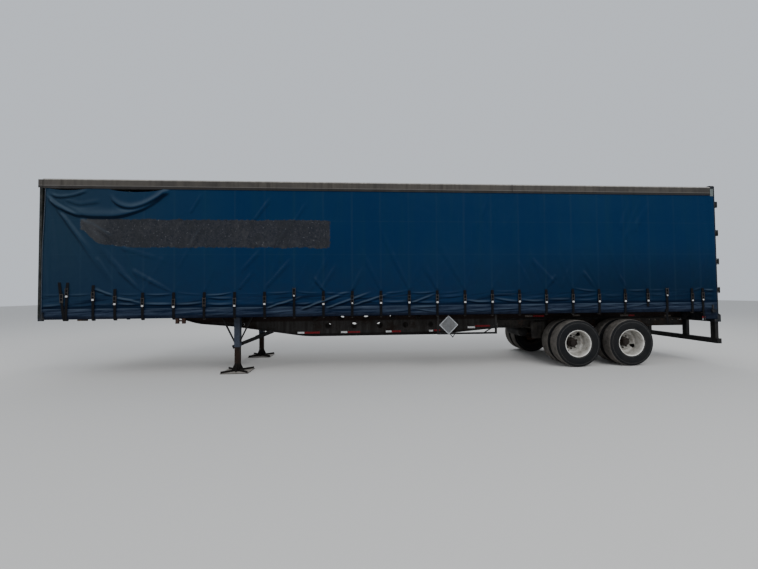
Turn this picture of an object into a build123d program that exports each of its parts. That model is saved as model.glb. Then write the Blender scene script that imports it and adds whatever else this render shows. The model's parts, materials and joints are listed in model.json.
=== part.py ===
from build123d import *
import os

# Curtain-sided semi trailer, 48 ft long, parked on its landing legs.
# Millimetres. +X points to the rear, +Z up, the left-hand side is -Y.
# Stations along the trailer are measured back from the front face.

# Overall
BODY_L = 14630.0
BODY_H = 2625.0
HALF_W = 1296.0

# Clearances
RUNNING = 0.3
MOVING = 8.0

# Tyres and wheels
TYRE_R = 520.0
TYRE_W = 280.0
SHOULDER_W = 27.0
SHOULDER_DROP = 20.0
BEAD_R = 286.0
RIM_T = 11.7
RIM_REACH = 292.0
RIM_BEVEL = 14.0
DISC_T = 14.0
DISC_BORE_R = 111.0
HAND_HOLE_R = 30.0
HAND_HOLE_AT = 236.0
HAND_HOLE_TURN = {"front": 51.0, "rear": -30.0}
DUAL_Y = HALF_W - 311.0
DUAL_PITCH = 343.0

# Hubs and axles
DRUM_R = 209.0
DRUM_IN = DUAL_Y - 250.0
DRUM_OUT = DUAL_Y - 55.0
FLANGE_R = 165.0
NOSE_R = 105.0
NOSE_OUT = DUAL_Y + 140.0
AXLE_R = 63.5
AXLE_TUBE = DRUM_IN - 10.0
SPINDLE_R = 45.0
SPINDLE_OUT = NOSE_OUT - 35.0
CHAMBER_R = 72.0
CHAMBER_Y = 300.0

# Springs, from the axle up
SPRING_Y = HALF_W - 758.0
SPRING_W = 76.0
SEAT_H = 20.0
SPACER_H = 16.2
LEAF_T = 16.0
LEAF_HALVES = (530.0, 400.0, 260.0)
SPRING_RISE = 90.0
HANGER_H = 54.0

# Stations of the running gear
AXLE_REAR = BODY_L - 2085.0
AXLE_FRONT = AXLE_REAR - 1245.0
AXLE_X = {"front": AXLE_FRONT, "rear": AXLE_REAR}
HANGER_FRONT = AXLE_FRONT - LEAF_HALVES[0] - 10.0
HANGER_MIDDLE = (AXLE_FRONT + AXLE_REAR) / 2
HANGER_REAR = AXLE_REAR + LEAF_HALVES[0] + 35.0
BOGIE_X0 = HANGER_FRONT - 360.0
BOGIE_X1 = HANGER_REAR + 340.0

# Heights, built up from the ground
AXLE_Z = TYRE_R
LEAF_LOW_Z = AXLE_Z + AXLE_R + SEAT_H + SPACER_H
SPRING_END_Z = LEAF_LOW_Z + LEAF_T * 2 + SPRING_RISE
HANGER_SEAT_Z = SPRING_END_Z + LEAF_T + RUNNING
BOGIE_H = 172.0
BOGIE_T = 12.0
BOGIE_Z0 = HANGER_SEAT_Z + HANGER_H
BOGIE_Z1 = BOGIE_Z0 + BOGIE_H
SLIDER_T = 10.0
SLIDER_LOW_Z = BOGIE_Z0 + MOVING
TAIL_Z = BOGIE_Z1 + SLIDER_T + 6.0
TAIL_H = 300.0
BEAM_TOP = TAIL_Z + TAIL_H
BEAM_H = 610.0
NECK_H = 110.0
BEAM_LOW_Z = BEAM_TOP - BEAM_H
NECK_Z = BEAM_TOP - NECK_H
CROSS_H = 100.0
DECK_T = 35.0
FLOOR_TOP = BEAM_TOP + CROSS_H + DECK_T
ROOF_TOP = FLOOR_TOP + BODY_H

# Main beams
BEAM_Y = HALF_W - 796.0
WEB_T = 8.0
BEAM_FLANGE_W = 127.0
BEAM_FLANGE_T = 12.7
BEAM_X0 = 150.0
BEAM_HOLE_R = 69.0
BEAM_HOLE_X = 5722.0
NECK_X = 2250.0
SLOPE_X = NECK_X + 540.0
KNEE_X = 3560.0
DEEP_X0 = 5230.0
TAIL_X = AXLE_FRONT - 1510.0
DEEP_X1 = TAIL_X - 1490.0
SLIDER_X0 = TAIL_X + 2.0
SLIDER_X1 = BODY_L - 150.0
SLIDER_W = 80.0
BOGIE_OUT = BEAM_Y - 6.0
BOGIE_IN = BOGIE_OUT - 84.0

# Floor
CROSS_PITCH = 304.8
CROSS_X0 = 211.2
CROSS_W = 46.0
CROSS_T = 6.0
BOARDS = 8
REAR_POST_D = 100.0
CROSS_COUNT = 1 + int((BODY_L - REAR_POST_D - CROSS_W - CROSS_X0) // CROSS_PITCH)

# Sides
RAIL_INSET = 14.0
RAIL_T = 8.0
RAIL_H = 210.0
RAIL_LIP = 48.0
WINCH_X = 2775.0
WINCH_L = 190.0
WINCH_CHEEK = 60.0
WINCH_H = 140.0
RAIL_OUT = HALF_W - RAIL_INSET
RAIL_LOW_Z = FLOOR_TOP - RAIL_H
ROOF_RAIL_W = 80.0
ROOF_RAIL_H = 210.0
ROOF_RAIL_Z = ROOF_TOP - ROOF_RAIL_H
ROOF_IN = HALF_W - ROOF_RAIL_W
ROOF_SKIN_T = 6.0
BOW_H = 40.0
BOW_W = 50.0

# Front
POST = 85.0
FRONT_CORNER_R = 55.0
HEADER_T = 60.0
PANEL_IN = 50.0
PANEL_T = 36.0
RIBS = 8

# Curtains
CURTAIN_T = 6.0
CURTAIN_IN = RAIL_OUT + RUNNING
CURTAIN_OUT = CURTAIN_IN + CURTAIN_T
CURTAIN_LOW_Z = RAIL_LOW_Z - 25.0
CURTAIN_TOP_Z = ROOF_RAIL_Z + 35.0
CURTAIN_TAIL_X = BODY_L - 345.0
TRACK_CLEAR = 2.7

# Straps and buckles
STRAP_IN = CURTAIN_OUT + RUNNING
STRAP_W = 45.0
STRAP_T = 3.0
STRAP_TOP_Z = FLOOR_TOP + 295.0
STRAP_LOW_Z = CURTAIN_LOW_Z + 5.0
STRAP_PITCH = 2 * CROSS_PITCH
STRAP_X0 = 2040.0
REAR_STRAPS = 1690.0
STRAP_COUNT = 1 + int((BODY_L - REAR_STRAPS - STRAP_PITCH / 2 - STRAP_X0) // STRAP_PITCH)
BOW_X0 = STRAP_X0 - 2 * STRAP_PITCH
BOW_COUNT = 1 + int((BODY_L - REAR_POST_D - BOW_W - BOW_X0) // STRAP_PITCH)
BUCKLE_W = 56.0
BUCKLE_H = 92.0
BUCKLE_T = 16.0
BUCKLE_Z = FLOOR_TOP + 27.0
HIGH_BUCKLE = 5
HOOK_T = 4.0
HOOK_DROP = 33.0

# Coupling
PLATE_T = 10.0
PLATE_HALF = BEAM_Y + 60.0
PLATE_X1 = 1950.0
KINGPIN_X = 914.0
KINGPIN_R = 25.4
KINGPIN_COLLAR_R = 36.5
KINGPIN_HEAD_R = 35.7

# Landing gear
LEG_X = 3800.0
LEG_Y = HALF_W - 396.0
LEG_TUBE = 120.0
LEG_INNER = 105.0
LEG_TUBE_Z = 535.0
FOOT_L = 580.0
FOOT_W = 480.0
FOOT_T = 12.0
FOOT_RIB_H = 42.0
FOOT_RIB_T = 14.0
GUSSET_REACH = 140.0
GUSSET_Z = 200.0
SHAFT_Z = BEAM_TOP - 315.0
SHAFT_R = 16.0
STRUT_W = 36.0
STRUT_REACH = 330.0
STRUT_LIFT = 135.0
DRAG_H = 80.0
DRAG_TAIL = 80.0
DRAG_REACH = 680.0

# Rear portal and doors
REAR_TOP = ROOF_TOP + 30.0
REAR_HEADER_Z = ROOF_TOP - 130.0
BOLSTER_Z = TAIL_Z - 40.0
BUMPER_D = 55.0
BUMPER_H = 190.0
DOOR_T = 45.0
DOOR_RECESS = 30.0
DOOR_MEET = 15.0
DOOR_OUT = HALF_W - REAR_POST_D - MOVING
DOOR_ROWS = 4
PRESSING = 10.0
ROD_R = 14.0
ROD_SHARES = (0.30, 0.68)

# Door hinges
PIN_BACK = 42.0
PIN_Y = HALF_W - 6.0
PIN_R = 11.0
BARREL_R = 18.0
KNUCKLE_HALF = 50.0
EAR_REACH = 70.0
EAR_T = 14.0
HINGE_COUNT = 4
HINGE_LOW = FLOOR_TOP + 250.0
HINGE_HIGH = REAR_HEADER_Z - 283.0

# Rear guard and side rack
GUARD_LOW_Z = 469.0
GUARD_H = 112.0
GUARD_D = 80.0
GUARD_BACK = 40.0
GUARD_POST_W = 105.0
RACK_Y = HALF_W - 96.0
RACK_L = 1330.0
RACK_X1 = TAIL_X - 312.0
RACK_X0 = RACK_X1 - RACK_L
RACK_Z = 765.0
RACK_TUBE = 38.0
BOARD_HALF = 210.0
BOARD_T = 5.0


def at(station):
    return station - BODY_L / 2


def face_of(points):
    return make_face(Polyline(*points, close=True))


def across(face, y0, y1):
    """Extrudes a face drawn in X and Z from y0 to y1."""
    return extrude(Plane.XZ.offset(-y1) * face, y1 - y0, dir=(0, -1, 0))


def along(face, x0, x1):
    """Extrudes a face drawn in Y and Z from x0 to x1."""
    return extrude(Plane.YZ.offset(x0) * face, x1 - x0, dir=(1, 0, 0))


def upward(face, z0, z1):
    """Extrudes a face drawn in X and Y from z0 to z1."""
    return extrude(Plane.XY.offset(z0) * face, z1 - z0, dir=(0, 0, 1))


def block(x0, x1, y0, y1, z0, z1):
    """A box from its limits; y0 and y1 may come in either order."""
    size = (x1 - x0, abs(y1 - y0), z1 - z0)
    middle = ((x0 + x1) / 2, (y0 + y1) / 2, (z0 + z1) / 2)
    return Pos(*middle) * Box(*size)


def flat_bar(start, end, width, height):
    """A rectangular bar from one point to another, its height upright."""
    start, end = Vector(*start), Vector(*end)
    run = end - start
    side = run.cross(Vector(0, 0, 1))
    plane = Plane(origin=start, x_dir=side, z_dir=run)
    return extrude(plane * Rectangle(width, height), run.length, dir=run.normalized())


def turned(points):
    """A solid of revolution about the Y axis from points of distance and radius."""
    return revolve(Plane.YZ * face_of(points), Axis.Y)


def both_sides(shape):
    return [shape, mirror(shape, Plane.XZ)]


def flat(shapes):
    """The separate solids of a list of shapes."""
    return [solid for shape in shapes for solid in shape.solids()]


# Chassis


def neck_line(lift):
    """The beam's lower edge from the neck to the slider, raised by lift."""
    # station, height, bend radius
    corners = (
        (NECK_X, NECK_Z, 1500.0),
        (SLOPE_X, BEAM_TOP - 285.0, 1500.0),
        (KNEE_X, BEAM_TOP - 355.0, 3000.0),
        (DEEP_X0, BEAM_LOW_Z, 3000.0),
        (DEEP_X1, BEAM_LOW_Z, 3000.0),
    )
    start = (at(BEAM_X0), NECK_Z + lift)
    end = (at(TAIL_X), SLIDER_LOW_Z - 1 + lift)
    path = [start] + [(at(x), z + lift) for x, z, r in corners] + [end]
    return FilletPolyline(*path, radius=[r for x, z, r in corners]), start, end


def beam_holes():
    """Round holes in the web: first station, height, count, radius."""
    low, high = BEAM_TOP - 376.0, BEAM_TOP - 185.0
    return (
        (BEAM_HOLE_X, low, 5, BEAM_HOLE_R),
        (BEAM_HOLE_X - STRAP_PITCH / 2, high, 5, BEAM_HOLE_R),
        (LEG_X, SHAFT_Z, 1, SHAFT_R + 4),
    )


def main_beams():
    """Two deep welded I-beams with a shallow neck and lightening holes."""
    tail = at(BODY_L - REAR_POST_D)
    lower, start, end = neck_line(0)
    step = Polyline(end, (end[0], TAIL_Z), (tail, TAIL_Z), (tail, BEAM_TOP), (start[0], BEAM_TOP), start)
    web = make_face(lower + step)
    for first, height, count, radius in beam_holes():
        for i in range(count):
            web -= Pos(at(first + STRAP_PITCH * i), height) * Circle(radius)
    beam = across(web, BEAM_Y - WEB_T / 2, BEAM_Y + WEB_T / 2)
    upper, up_start, up_end = neck_line(BEAM_FLANGE_T)
    flange = make_face(lower + upper + Line(start, up_start) + Line(end, up_end))
    y0, y1 = BEAM_Y - BEAM_FLANGE_W / 2, BEAM_Y + BEAM_FLANGE_W / 2
    beam += across(flange, y0, y1)
    beam += block(end[0], tail, y0, y1, TAIL_Z, TAIL_Z + BEAM_FLANGE_T)
    beam += block(start[0], tail, y0, y1, BEAM_TOP - BEAM_FLANGE_T, BEAM_TOP)
    return both_sides(beam)


def cross_members():
    """Channels that lie across the beams and carry the deck."""
    half, web, low = CROSS_W / 2, CROSS_T, BEAM_TOP
    top = low + CROSS_H
    profile = [
        (-half, low), (half, low), (half, low + web), (-half + web, low + web),
        (-half + web, top - web), (half, top - web), (half, top), (-half, top),
    ]
    end = RAIL_OUT - RAIL_T
    stations = [CROSS_X0 + CROSS_PITCH * i for i in range(CROSS_COUNT)]
    return [Pos(at(x), 0, 0) * across(face_of(profile), -end, end) for x in stations]


def slider_rails():
    """Rails under the beams that the axle frame slides in."""
    inner, web, low = BEAM_Y, BEAM_Y + WEB_T, SLIDER_LOW_Z
    outer, lip = inner + SLIDER_W, inner - SLIDER_W * 0.75
    profile = [
        (inner, low), (outer, low), (outer, low + SLIDER_T), (web, low + SLIDER_T), (web, TAIL_Z),
        (lip, TAIL_Z), (lip, TAIL_Z - SLIDER_T), (inner, TAIL_Z - SLIDER_T),
    ]
    return both_sides(along(face_of(profile), at(SLIDER_X0), at(SLIDER_X1)))


def coupler_plate():
    """Plate under the neck that rests on the tractor's fifth wheel, with the kingpin in it."""
    x0, x1, low = at(BEAM_X0), at(PLATE_X1), NECK_Z - PLATE_T
    plate = block(x0, x1, -PLATE_HALF, PLATE_HALF, low, NECK_Z)
    inner = BEAM_Y - BEAM_FLANGE_W / 2
    for station in (420.0, KINGPIN_X, 1500.0):
        x = at(station)
        plate += block(x - 40, x + 40, -inner, inner, NECK_Z, NECK_Z + 80)
    # radius and depth below the plate of each step of the pin
    steps = (
        (0, -1), (KINGPIN_COLLAR_R, -1), (KINGPIN_COLLAR_R, 35), (KINGPIN_R, 35), (KINGPIN_R, 65),
        (KINGPIN_HEAD_R, 65), (KINGPIN_HEAD_R, 84), (0, 84),
    )
    pin = revolve(Plane.XZ * face_of([(r, low - depth) for r, depth in steps]), Axis.Z)
    return [plate + Pos(at(KINGPIN_X), 0, 0) * pin]


# Floor and side rails


def side_rails():
    """Outer rails of the deck: a web with a lip at its top and its foot."""
    web, lip, low = RAIL_OUT - RAIL_T, RAIL_OUT - RAIL_LIP, RAIL_LOW_Z
    top = FLOOR_TOP + RAIL_T
    profile = [
        (RAIL_OUT, low), (RAIL_OUT, top), (lip, top), (lip, FLOOR_TOP),
        (web, FLOOR_TOP), (web, low + RAIL_T), (lip, low + RAIL_T), (lip, low),
    ]
    return both_sides(along(face_of(profile), at(POST), at(BODY_L - REAR_POST_D))) + [side_winch()]


def side_winch():
    """Strap winch under the left side rail: two cheeks with a drum between them."""
    x, top, low = at(WINCH_X), RAIL_LOW_Z, RAIL_LOW_Z - WINCH_H
    y0, y1 = -RAIL_OUT + 2, -RAIL_OUT + RAIL_LIP
    drum = Pos((y0 + y1) / 2, (top + low) / 2 - 10) * Circle(16.0)
    winch = along(drum, x - WINCH_L / 2, x + WINCH_L / 2)
    for x0 in (x - WINCH_L / 2, x + WINCH_L / 2 - WINCH_CHEEK):
        winch += block(x0, x0 + WINCH_CHEEK, y0, y1, low, top)
    return winch


def deck():
    """Floor boards, with a shallow joint between each two."""
    half, x0, x1 = RAIL_OUT - RAIL_T, at(POST), at(BODY_L - REAR_POST_D)
    floor = block(x0, x1, -half, half, FLOOR_TOP - DECK_T, FLOOR_TOP)
    for i in range(1, BOARDS):
        y = -half + 2 * half * i / BOARDS
        floor -= block(x0, x1, y - 3, y + 3, FLOOR_TOP - 5, FLOOR_TOP)
    return [floor]


# Front


def front_posts():
    """Corner posts with a round outer corner."""
    middle = HALF_W - POST / 2
    section = Pos(at(POST / 2), -middle) * Rectangle(POST, POST)
    outer = section.vertices().sort_by(Axis.Y)[:2].sort_by(Axis.X)[:1]
    return both_sides(upward(fillet(outer, FRONT_CORNER_R), RAIL_LOW_Z, ROOF_TOP - 50))


def front_rails():
    """Header and sill between the front posts."""
    inner = HALF_W - POST
    low, top = ROOF_RAIL_Z + 10, ROOF_TOP - 16
    header = [(at(0), low), (at(HEADER_T), low), (at(HEADER_T), top), (at(36), top), (at(0), top - 34)]
    sill = block(at(0), at(POST), -inner, inner, RAIL_LOW_Z, FLOOR_TOP)
    return [across(face_of(header), -inner, inner), sill]


def front_wall():
    """Front panel with upright ribs pressed forward."""
    inner = HALF_W - POST
    low, top = FLOOR_TOP, ROOF_RAIL_Z + 10
    outer = PANEL_IN - PANEL_T
    wall = block(at(outer), at(PANEL_IN), -inner, inner, low, top)
    for i in range(1, RIBS + 1):
        y = -inner + 2 * inner * i / (RIBS + 1)
        wall += block(at(outer - 12), at(outer), y - 30, y + 30, low, top)
    return [wall]


# Roof


def roof_rails():
    """Side rails of the roof, each with the track that the curtain hangs in."""
    low, top = ROOF_RAIL_Z, ROOF_TOP
    track_in, track_out = CURTAIN_IN - TRACK_CLEAR, CURTAIN_OUT + TRACK_CLEAR
    track_z = CURTAIN_TOP_Z + 10
    profile = [
        (ROOF_IN, low + 60), (ROOF_IN + 30, low), (track_in, low), (track_in, track_z),
        (track_out, track_z), (track_out, low + 12), (HALF_W, low + 12),
        (HALF_W, top - 14), (HALF_W - 14, top), (ROOF_IN, top),
    ]
    return both_sides(along(face_of(profile), at(POST), at(BODY_L - REAR_POST_D)))


def roof_panel():
    low = ROOF_TOP - 16
    return [block(at(30), at(BODY_L - REAR_POST_D), -ROOF_IN, ROOF_IN, low, low + ROOF_SKIN_T)]


def roof_bows():
    """Bows under the roof skin, from rail to rail."""
    top, bows = ROOF_TOP - 16, []
    for i in range(BOW_COUNT):
        x = at(BOW_X0 + STRAP_PITCH * i)
        bows.append(block(x - BOW_W / 2, x + BOW_W / 2, -ROOF_IN, ROOF_IN, top - BOW_H, top))
    return bows


# Curtains


def curtain(side):
    """Soft side curtain, hung in the roof track, down over the side rail."""
    x0, x1 = at(POST + 4), at(BODY_L - REAR_POST_D - 2)
    tail_x, tail_z = at(CURTAIN_TAIL_X), BOLSTER_Z + 65
    outline = [
        (x0, CURTAIN_LOW_Z), (tail_x, CURTAIN_LOW_Z), (tail_x + 40, tail_z), (x1, tail_z),
        (x1, CURTAIN_TOP_Z), (x0, CURTAIN_TOP_Z),
    ]
    y0, y1 = sorted((side * CURTAIN_IN, side * CURTAIN_OUT))
    return [across(face_of(outline), y0, y1)]


def strap_table():
    """Straps: stations of the top and the foot, extra height of the top and of the buckle."""
    straps = [
        (430.0, 528.0, 220.0, 90.0),
        (635.0, 578.0, 215.0, 200.0),
        (1080.0, 1080.0, 160.0, 135.0),
        (1500.0, 1500.0, 80.0, 60.0),
    ]
    for i in range(STRAP_COUNT):
        x = STRAP_X0 + STRAP_PITCH * i
        straps.append((x, x, 0.0, 190.0 if i == HIGH_BUCKLE else 0.0))
    # distance ahead of the tail, extra height of the buckle
    for ahead, lift in ((REAR_STRAPS, 0.0), (1230.0, 100.0), (625.0, 0.0), (365.0, 15.0)):
        straps.append((BODY_L - ahead, BODY_L - ahead, 0.0, lift))
    return straps


def curtain_straps():
    """Webbing straps that pull the curtain down, in front of its hem."""
    straps, half = [], STRAP_W / 2
    for top, foot, rise, lift in strap_table():
        z = STRAP_TOP_Z + rise
        outline = [
            (at(foot) - half, STRAP_LOW_Z), (at(foot) + half, STRAP_LOW_Z),
            (at(top) + half, z), (at(top) - half, z),
        ]
        straps += both_sides(across(face_of(outline), STRAP_IN, STRAP_IN + STRAP_T))
    return straps


def strap_buckles():
    """Over-centre buckles on the straps, and the hooks under the side rail."""
    buckles = []
    for top, foot, rise, lift in strap_table():
        share = (BUCKLE_Z + lift - STRAP_LOW_Z) / (STRAP_TOP_Z + rise - STRAP_LOW_Z)
        buckles += strap_buckle(at(foot + (top - foot) * share), BUCKLE_Z + lift)
        buckles += strap_hook(at(foot))
    return buckles


def strap_buckle(x, z):
    inner, outer = STRAP_IN + STRAP_T, STRAP_IN + STRAP_T + BUCKLE_T
    side_view = [
        (inner, z - BUCKLE_H / 2), (outer, z - BUCKLE_H / 2 + 12),
        (outer, z + 10), (inner, z + BUCKLE_H / 2),
    ]
    return both_sides(along(face_of(side_view), x - BUCKLE_W / 2, x + BUCKLE_W / 2))


def strap_hook(x):
    """A flat hook from the strap's foot, under the side rail and up behind its lip."""
    inner, outer, low = RAIL_OUT - 34, STRAP_IN, STRAP_LOW_Z - HOOK_DROP
    top = RAIL_LOW_Z - RUNNING
    profile = [
        (outer + HOOK_T, STRAP_LOW_Z), (outer + HOOK_T, low), (inner, low), (inner, top),
        (inner + HOOK_T, top), (inner + HOOK_T, low + HOOK_T), (outer, low + HOOK_T), (outer, STRAP_LOW_Z),
    ]
    return both_sides(along(face_of(profile), x - 16, x + 16))


def curtain_posts():
    """Sliding posts behind the curtain, from the side rail to the roof rail."""
    posts = []
    outer, inner = RAIL_OUT - 20, RAIL_OUT - 82
    low, top = FLOOR_TOP + RAIL_T, ROOF_RAIL_Z
    for share in (0.25, 0.5, 0.75):
        x = at(BODY_L * share)
        post = block(x - 45, x + 45, inner, outer, low, top)
        post -= block(x - 35, x + 35, inner - 10, outer - 8, low + 120, top - 120)
        posts += both_sides(post)
    return posts


def curtain_tensioners():
    """Ratchets on the posts at the four lower corners, one before each curtain edge."""
    boxes, low = [], RAIL_LOW_Z - 50
    for edge, inward in ((POST, 1), (BODY_L - REAR_POST_D, -1)):
        x0, x1 = sorted((at(edge) - inward * 40, at(edge) + inward * 75))
        hub = at(edge) + inward * 45
        box = block(x0, x1, HALF_W, HALF_W + 12, low, low + 70)
        box += block(hub - 14, hub + 14, HALF_W, HALF_W + 22, low + 60, low + 175)
        box += across(Pos(hub, low + 30) * Circle(28.0), HALF_W, HALF_W + 30)
        boxes += both_sides(box)
    return boxes


# Landing gear


def landing_leg():
    """One telescopic leg on its wide plate foot, with gussets and crossed ribs."""
    half, inner, x = LEG_TUBE / 2, LEG_INNER / 2, at(LEG_X)
    leg = block(x - half, x + half, LEG_Y - half, LEG_Y + half, LEG_TUBE_Z, BEAM_TOP)
    leg += block(x - inner, x + inner, LEG_Y - inner, LEG_Y + inner, FOOT_T, LEG_TUBE_Z)
    leg += block(x - FOOT_L / 2, x + FOOT_L / 2, LEG_Y - FOOT_W / 2, LEG_Y + FOOT_W / 2, 0, FOOT_T)
    reach, low = GUSSET_REACH, FOOT_T
    gusset = face_of([(-reach, low), (reach, low), (inner, GUSSET_Z), (-inner, GUSSET_Z)])
    leg += across(Pos(x, 0) * gusset, LEG_Y - 5, LEG_Y + 5)
    leg += along(Pos(LEG_Y, 0) * gusset, x - 5, x + 5)
    for sign in (-1, 1):
        corner = Vector(FOOT_L / 2 - FOOT_RIB_T, sign * (FOOT_W / 2 - FOOT_RIB_T), 0)
        middle = Vector(x, LEG_Y, FOOT_T + FOOT_RIB_H / 2)
        leg += flat_bar(middle - corner, middle + corner, FOOT_RIB_T, FOOT_RIB_H)
    return leg


def landing_wings():
    """Plates that tie the legs to the beams."""
    x, half = at(LEG_X), LEG_TUBE / 2
    web, lip = BEAM_Y + WEB_T / 2, BEAM_Y + BEAM_FLANGE_W / 2
    under = BEAM_TOP - BEAM_FLANGE_T
    wing = [
        (web, BEAM_TOP - 280), (LEG_Y - half, BEAM_TOP - 180), (LEG_Y - half, BEAM_TOP),
        (lip, BEAM_TOP), (lip, under), (web, under),
    ]
    return both_sides(along(face_of(wing), x - 6, x + 6))


def landing_struts():
    """Bars from each leg to the floor and the beam, and the shaft between the legs."""
    x, half = at(LEG_X), LEG_TUBE / 2
    outer = LEG_Y + half - STRUT_W / 2
    struts = []
    for sign in (-1, 1):
        struts.append(sloped_strut(x + sign * half, x + sign * (half + STRUT_REACH), outer))
    foot = (x - half - DRAG_TAIL, LEG_Y - half - 8, LEG_TUBE_Z - 20)
    head = (x + DRAG_REACH, BEAM_Y + BEAM_FLANGE_W / 2 + 8, BEAM_TOP - 470)
    drag = flat_bar(foot, head, 12.0, DRAG_H)
    struts.append(drag - landing_leg() - main_beams()[0])
    inner = LEG_Y - half
    shaft = across(Pos(x, SHAFT_Z) * Circle(SHAFT_R), -inner, inner)
    return [piece for strut in struts for piece in both_sides(strut)] + [shaft]


def sloped_strut(x0, x1, y):
    """A bar in an upright plane, cut square to the leg and to the floor frame."""
    low = LEG_TUBE_Z + STRUT_LIFT
    lean = STRUT_W if x1 > x0 else -STRUT_W
    outline = [(x0, low - STRUT_W), (x0, low + STRUT_W / 2), (x1 - lean, BEAM_TOP), (x1, BEAM_TOP)]
    return across(face_of(outline), y - STRUT_W / 2, y + STRUT_W / 2)


def landing_crank():
    """Gearbox on the right leg with its folded crank."""
    x, y, top = at(LEG_X), LEG_Y + LEG_TUBE / 2, BEAM_TOP - 180
    box = block(x - 50, x + 50, y, y + 60, top - 160, top)
    shaft = across(Pos(x, top - 60) * Circle(14.0), y + 60, y + 104)
    handle = block(x - 10, x + 10, y + 104, y + 122, top - 360, top - 45)
    grip = across(Pos(x, top - 340) * Circle(13.0), y + 122, y + 210)
    return [box + shaft + handle + grip]


# Axle frame


def bogie_frame():
    """Sliding axle frame: two rails and cross-members, with hold-down clips."""
    x0, x1, t = at(BOGIE_X0), at(BOGIE_X1), BOGIE_T
    rail = [
        (BOGIE_IN, BOGIE_Z0), (BOGIE_OUT, BOGIE_Z0), (BOGIE_OUT, BOGIE_Z1), (BOGIE_IN, BOGIE_Z1),
        (BOGIE_IN, BOGIE_Z1 - t), (BOGIE_OUT - t, BOGIE_Z1 - t),
        (BOGIE_OUT - t, BOGIE_Z0 + t), (BOGIE_IN, BOGIE_Z0 + t),
    ]
    frame = Part() + both_sides(along(face_of(rail), x0, x1))
    for x in (x0 + 120, at(HANGER_MIDDLE), x1 - 120):
        frame += block(x - 50, x + 50, -BOGIE_OUT + t, BOGIE_OUT - t, BOGIE_Z0 + t, BOGIE_Z1 - t)
    clip_out = BEAM_Y + SLIDER_W - 6
    pad_top = TAIL_Z - SLIDER_T - RUNNING
    for x in (x0 + 200, at(HANGER_MIDDLE) - 222, at(HANGER_MIDDLE) + 228, x1 - 200):
        clip = block(x - 60, x + 60, BOGIE_IN, clip_out, BOGIE_Z0 - t, BOGIE_Z0)
        pad = block(x - 60, x + 60, BOGIE_IN + 32, BOGIE_OUT, BOGIE_Z1, pad_top)
        frame += both_sides(clip)
        frame += both_sides(pad)
    return [frame]


def hanger_table():
    """Hangers: station, length of the outer cheek at its top and foot, its top, reach of the seat."""
    middle_reach = (AXLE_REAR - AXLE_FRONT) / 2 - LEAF_HALVES[0] + 32.5
    return (
        (HANGER_FRONT, 390.0, 320.0, BOGIE_Z0 + 138, 75.0),
        (HANGER_MIDDLE, 150.0, 120.0, BOGIE_Z0 - 12, middle_reach),
        (HANGER_REAR, 170.0, 120.0, BOGIE_Z0 - 12, 75.0),
    )


def spring_hangers():
    """Hangers under the axle frame that hold the spring ends."""
    hangers = []
    low = HANGER_SEAT_Z - 198
    inner, outer = SPRING_Y - SPRING_W / 2 - 30, SPRING_Y + SPRING_W / 2 + 24
    for station, length, foot, cheek_z, reach in hanger_table():
        x = at(station)
        cheek = [
            (x - length / 2, cheek_z), (x - foot / 2, low),
            (x + foot / 2, low), (x + length / 2, cheek_z),
        ]
        part = across(face_of(cheek), outer - 10, outer)
        plate = [(x - 75, BOGIE_Z0), (x - 60, low), (x + 60, low), (x + 75, BOGIE_Z0)]
        part += across(face_of(plate), inner, inner + 10)
        part += block(x - 75, x + 75, inner, outer, HANGER_SEAT_Z + 20, BOGIE_Z0)
        part += block(x - reach, x + reach, inner + 10, outer - 10, HANGER_SEAT_Z, HANGER_SEAT_Z + 30)
        hangers += both_sides(part)
    return hangers


def leaf(x, base, half):
    """One bent leaf, seen from the side."""
    rise = SPRING_RISE * (half / LEAF_HALVES[0]) ** 2
    lower = ThreePointArc((x - half, base + rise), (x, base), (x + half, base + rise))
    top = base + LEAF_T
    upper = ThreePointArc((x - half, top + rise), (x, top), (x + half, top + rise))
    return make_face(lower + upper + Line(lower @ 0, upper @ 0) + Line(lower @ 1, upper @ 1))


def leaf_springs():
    """Leaf packs over each axle, each leaf shorter than the one above."""
    packs = []
    y0, y1 = SPRING_Y - SPRING_W / 2, SPRING_Y + SPRING_W / 2
    for station in AXLE_X.values():
        x, pack = at(station), Part()
        for level, half in enumerate(LEAF_HALVES):
            pack += across(leaf(x, LEAF_LOW_Z + LEAF_T * (2 - level), half), y0, y1)
        pack += block(x - 70, x + 70, y0, y1, LEAF_LOW_Z - SPACER_H, LEAF_LOW_Z + 2)
        packs += both_sides(pack)
    return packs


def radius_rods():
    """Rods that hold each axle fore and aft, from the hangers to the axle."""
    rods = []
    eye_z = HANGER_SEAT_Z - 163
    inner, outer = SPRING_Y - SPRING_W / 2 - 20, SPRING_Y + SPRING_W / 2 + 14
    for axle_x, hanger_x in ((AXLE_FRONT, HANGER_FRONT), (AXLE_REAR, HANGER_MIDDLE)):
        x0, x1 = at(hanger_x) - 20, at(axle_x) - 80
        rod = [(x0, eye_z - 20), (x0, eye_z + 20), (x1, AXLE_Z + 20), (x1, AXLE_Z - 15)]
        rod = across(face_of(rod), SPRING_Y - 18, SPRING_Y + 18)
        rod += across(Pos(x0, eye_z) * Circle(30.0), inner, outer)
        rods += both_sides(rod)
    return rods


def air_tanks():
    """Air tank across the axle frame, ahead of the front axle."""
    x, r, half, dish = at(BOGIE_X0 + 120), 115.0, 330.0, 12.0
    z = BOGIE_Z0 - r - 7
    profile = [
        (-half, 0), (-half, r - dish), (-half + dish, r), (half - dish, r), (half, r - dish), (half, 0),
    ]
    tank = Pos(x, 0, z) * turned(profile)
    for y in (-220.0, 220.0):
        tank += block(x - 20, x + 20, y - 20, y + 20, z + r - 15, BOGIE_Z0 + BOGIE_T)
    return [tank]


# Axles and wheels


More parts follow.
